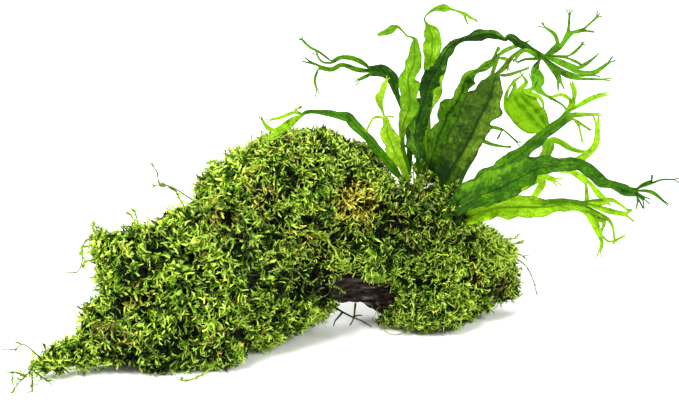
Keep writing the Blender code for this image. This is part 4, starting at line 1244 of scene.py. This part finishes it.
# A blade under construction, whose points know how far along, across and out on the crest they are
class Frond:
    def __init__(self, looks):
        self.shape = bmesh.new()
        self.twist = looks["twist"]
        self.crumpled = looks.get("crumpled", fern["crumpled"])
        self.lean = looks.get("lean", 0)
        self.layers = {part: self.shape.verts.layers.float.new(part)
                       for part in ("along", "across", "crest", "halfWidth")}

    def mark(self, row, along, crest, halfWidth):
        for index, point in enumerate(row):
            point[self.layers["along"]] = along
            point[self.layers["across"]] = index / (len(row) - 1)
            point[self.layers["crest"]] = crest
            point[self.layers["halfWidth"]] = halfWidth

    def grow(self, row, before, root, branch, along, level):
        points, forks = branch
        places = [placeOf(*point[:3]) for point in points]
        start = sum((vertex.co for vertex in row), Vector()) / len(row)
        widths = [root[3]] + [point[3] for point in points]
        between = fern["rowsBetween"] if level == 0 else fern["crestRows"]
        route = curveThrough([before, start] + places, between)[between + 1:]
        widthCurve = curveThrough([(width, 0, 0) for width in widths], between)
        begun = along
        for index in range(1, len(route)):
            share = index / (len(route) - 1)
            turn = self.twist[1] if level else self.twist[0] + (self.twist[1] - self.twist[0]) * share
            along += (route[index] - route[index - 1]).length / mm
            row = extrudeRow(self.shape, row)
            halfWidth = max(widthCurve[index].x, fern["tipHalfWidth"])
            crumpled = self.crumpled * (fern["crestCrumple"] if level else 1)
            lean = 0 if level else self.lean
            direction = directionAt(route, index)
            setRow(row, route[index], direction, halfWidth, math.radians(turn), along, crumpled, lean)
            crest = min(1, level * 0.3 + (0.3 * share if level else 0.25 * share ** 6))
            self.mark(row, along, crest, halfWidth)
        ends = [root] + points
        heading = seenAngle(ends[-2], ends[-1])
        if forks == 0 and level and along - begun > fern["forkFrom"]:
            reach = random.uniform(*fern["forkLength"])
            count = int(random.integers(2, 4))
            forks = smallTips(points[-1], heading, count, reach, fern["tipHalfWidth"] * 0.8)
        elif isinstance(forks, int):
            forks = smallTips(points[-1], heading, forks, fern["tipLength"], fern["tipHalfWidth"])
        if not forks:
            return
        row = splitRow(self.shape, row, 2 * len(forks))
        self.mark(row, along, min(1, 0.3 * (level + 1)), widths[-1])
        ordered = sorted(
            forks, key=lambda fork: math.remainder(seenAngle(points[-1], fork[0][0]) - heading, math.tau),
            reverse=True)
        spare = len(row) - 1 - 2 * len(forks)
        first = 0
        for index, fork in enumerate(ordered):
            edges = 2 + (spare if index == len(ordered) // 2 else 0)
            span = (row[first].co - row[first + edges].co).length / 2 / mm
            root = (*points[-1][:3], span)
            self.grow(row[first:first + edges + 1], route[-2], root, fork, along, level + 1)
            first += edges


def frondSkin(name):  # the blade's smooth sheet, before its veins and crumples
    frond = Frond(frondLooks[name])
    points, forks = frondShapes[name]
    start = placeOf(*points[0][:3])
    row = [frond.shape.verts.new(start + Vector((step * mm, 0, 0))) for step in range(fern["edges"] + 1)]
    for pair in zip(row, row[1:]):
        frond.shape.edges.new(pair)
    direction = (placeOf(*points[1][:3]) - start).normalized()
    setRow(row, start, direction, points[0][3], math.radians(frond.twist[0]), 0, 0, 0)
    frond.mark(row, 0, 0, points[0][3])
    frond.grow(row, start - direction * 4 * mm, points[0], (points[1:], forks), 0, 0)
    bmesh.ops.recalc_face_normals(frond.shape, faces=frond.shape.faces)
    item = linked("sheet", smoothMesh(frond.shape, "sheet"))
    item.modifiers.new("smoother", "SUBSURF").levels = 2
    return evaluated(item)


def readPart(mesh, part):  # one of the values that Frond marked
    values = np.empty(len(mesh.vertices))
    mesh.attributes[part].data.foreach_get("value", values)
    return values


def band(values, low, high, soft):  # 1 between low and high, falling to 0 over soft
    return np.clip((values - low) / soft + 0.5, 0, 1) * np.clip((high - values) / soft + 0.5, 0, 1)


def crumple(name, mesh):  # veins, blisters and rippled margins, and the painted shade attribute
    points, normals = cornersOf(mesh)
    looks = frondLooks[name]
    along, across, crest = (readPart(mesh, part) for part in ("along", "across", "crest"))
    halfWidth = readPart(mesh, "halfWidth")
    amount = looks.get("crumpled", fern["crumpled"])
    aside = across * 2 - 1
    fromRib = np.abs(aside)
    blade = np.clip(1 - crest * 2.2, 0, 1) * np.clip(halfWidth / 3, 0, 1)
    shift = Vector((len(name), 3, looks["twist"][0]))
    wander = smoothNoise(points, 6, shift)
    phase = along / fern["veinSpacing"] - fromRib * fern["veinSlant"] * halfWidth / 4 + wander * 0.5
    blister = np.abs(np.sin(phase * math.pi)) ** 0.6
    height = fern["bulge"] * blister * np.sin(np.clip(fromRib, 0, 1) * math.pi) ** 0.5 * blade * amount
    fine = smoothNoise(points, fern["crinkleSize"], shift)
    height += fern["crinkle"] * fine * np.clip(fromRib * 1.6, 0.15, 1) * (0.35 + 0.65 * blade) * amount
    ripple = along / fern["waveLength"] * math.tau + np.where(aside > 0, 1.7, 0) + wander * 2.2
    wave = np.sin(ripple) + 0.5 * np.sin(ripple * 2.3 + 1)
    height += fern["wave"] * wave * fromRib ** 2 * halfWidth * (0.3 + 0.7 * blade) * amount
    points += normals * height[:, None] * mm
    mesh.vertices.foreach_set("co", points.ravel())
    shade = np.zeros(len(points))
    # each stretch adds painted light or, below 0, painted shade to the shade attribute
    for start, end, low, high, much in looks.get("stretches", []):
        inside = band(along, start, end, fern["patchEdge"][0]) * band(across, low, high, fern["patchEdge"][1])
        shade += much * inside * (0.75 + 0.5 * fine)
    for part, values in (("shade", np.clip(shade, -1, 1)), ("relief", np.clip(blister * blade, 0, 1))):
        mesh.attributes.new(part, "FLOAT", "POINT").data.foreach_set("value", values)
    mesh.update()


def buildFrond(name, materials):
    mesh = frondSkin(name)
    crumple(name, mesh)
    mesh.shade_smooth()
    looks = frondLooks[name]
    item = addObject("leaf_" + name[6:], mesh, materials[looks["finish"]], looks["slot"], name)
    thickness = item.modifiers.new("thickness", "SOLIDIFY")
    thickness.thickness = fern["thickness"] * mm
    thickness.offset = 0
    return len(mesh.polygons)


def leafMaterial(name, dark, middle, bright, crestColour, ribColour, spots, ribWidth=0.12):
    material, shader, wire = startMaterial(name + " fern leaf", specular=0.09)
    along, across, crest, shade, relief = (
        wire.make("ShaderNodeAttribute", {"attribute_name": part}, {}, output="Fac")
        for part in ("along", "across", "crest", "shade", "relief"))
    place = wire.place()
    patches = wire.noise(place, 170, 4, 0.65)
    grain = wire.noise(place, 900, 3, 0.6)
    fromRib = abs(across - 0.5) * 2
    onBlade = 1 - crest.smooth(0.05, 0.3)
    streaks = wire.noise(wire.vector(across * 9, along * 0.22), 1, 3, 0.6)
    # tone adds the stretches' painted light and shade (shade) to the leaf's own patches and streaks
    tone = (patches - 0.5) * 2.2 + (grain - 0.5) * 1.3 + (streaks - 0.5) * 1.4 + shade
    base = tone.smooth(-0.75, 0.15).mixed(opaque(dark), opaque(middle))
    # raised blisters (relief) are painted brighter, as a painted highlight
    lit = (tone + relief * 0.35 - 0.1).smooth(0.1, 1.0).mixed(base, opaque(bright))
    veins = (1 - relief.smooth(0.0, 0.45)) * (1 - fromRib.smooth(0.8, 0.95)) * onBlade
    veined = (veins * 0.5).mixed(lit, opaque(dark))
    rib = (1 - fromRib.smooth(ribWidth * 0.3, ribWidth)) * onBlade
    # the midrib is paler near the root, partly its own paler green and partly a painted highlight, and dark
    # beyond 12 to 26 mm
    ribTone = along.smooth(12, 26).mixed(opaque(ribColour), opaque(dark))
    ribbed = (rib * 0.75).mixed(veined, ribTone)
    edged = (fromRib.smooth(0.86, 1.0) * 0.6 * onBlade).mixed(ribbed, opaque(dark))
    # the crest's tone takes the stretches' painted light and shade too
    crestTone = (patches - 0.5) * 2.4 + (grain - 0.5) + (streaks - 0.5) * 2 + 0.15 + shade
    crested = crestTone.smooth(-0.6, 0.5).mixed(opaque(dark), opaque(crestColour))
    final = crest.smooth(0.1, 0.45).mixed(edged, crested)
    if spots:
        spotPlace = wire.vector(across * 5, along * 0.36)
        dots = wire.make("ShaderNodeTexVoronoi", {}, {"Vector": spotPlace, "Scale": 1, "Randomness": 0.8})
        final = ((1 - dots.smooth(0.06, 0.2)) * onBlade * spots).mixed(final, opaque(fern["spots"]))
    plug(material, final, shader.inputs["Base Color"])
    plug(material, 0.36 + patches * 0.2, shader.inputs["Roughness"])
    height = patches * 0.6 + grain * 0.4 + streaks * 0.4 - rib * 0.5
    addBump(material, shader, wire, height, fern["bump"], 0.8)
    letThrough(material, shader, wire, final, fern["lightThrough"])
    return material


creepingStem = {
    "voxel": 0.5,
    "scaleSize": 1.6,
    "scaleHeight": 0.4,
    "dark": "12140A",
    "pale": "3E421C",
}


def buildRhizome():  # the creeping stem, scaly and dark
    skin = remeshed(nodeCopy("rhizome"), creepingStem["voxel"], 2)
    for vertex, normal in zip(skin.vertices, [vertex.normal.copy() for vertex in skin.vertices]):
        height = noise.noise(vertex.co / (creepingStem["scaleSize"] * mm)) * creepingStem["scaleHeight"]
        vertex.co += normal * height * mm
    skin.shade_smooth()
    material, shader, wire = startMaterial("creeping stem", 0.6)
    tone = wire.noise(wire.place(), 600, 3, 0.6)
    final = tone.smooth(0.35, 0.7).mixed(opaque(creepingStem["dark"]), opaque(creepingStem["pale"]))
    plug(material, final, shader.inputs["Base Color"])
    addBump(material, shader, wire, tone, 0.0006, 0.8)
    addObject("rhizome_scaly", skin, material, "stem", "rhizome")


def buildFern():
    materials = {name: leafMaterial(name, *values) for name, values in leafFinishes.items()}
    faces = [buildFrond(name, materials) for name in frondShapes]
    print("fern", sum(faces), "faces before the thickness")
    buildRhizome()


buildStage()
buildCamera()
print("stage and camera done")
buildDriftwood()
print("driftwood done")
mossFinish = mossMaterial()
straw = strandMaterial("old moss stems", *strandColours["straw"])
limeStrand = strandMaterial("green moss stems", *strandColours["lime"])
skin = buildMoss(mossFinish)
buildUnderlay()
buildStems(skin, straw)
buildStrands(skin, {"straw": straw, "lime": limeStrand}, mossFinish)
buildStrays(mossFinish, strandMaterial("runner stalks", *strandColours["runner"]))
buildTwigs("moss_twigs", twigs, twigRadius, strandMaterial("dark twigs", *strandColours["twig"]))
buildTwigs("moss_loops", loops, loopRadius, straw)
print("moss done")
buildFern()
print("fern done")
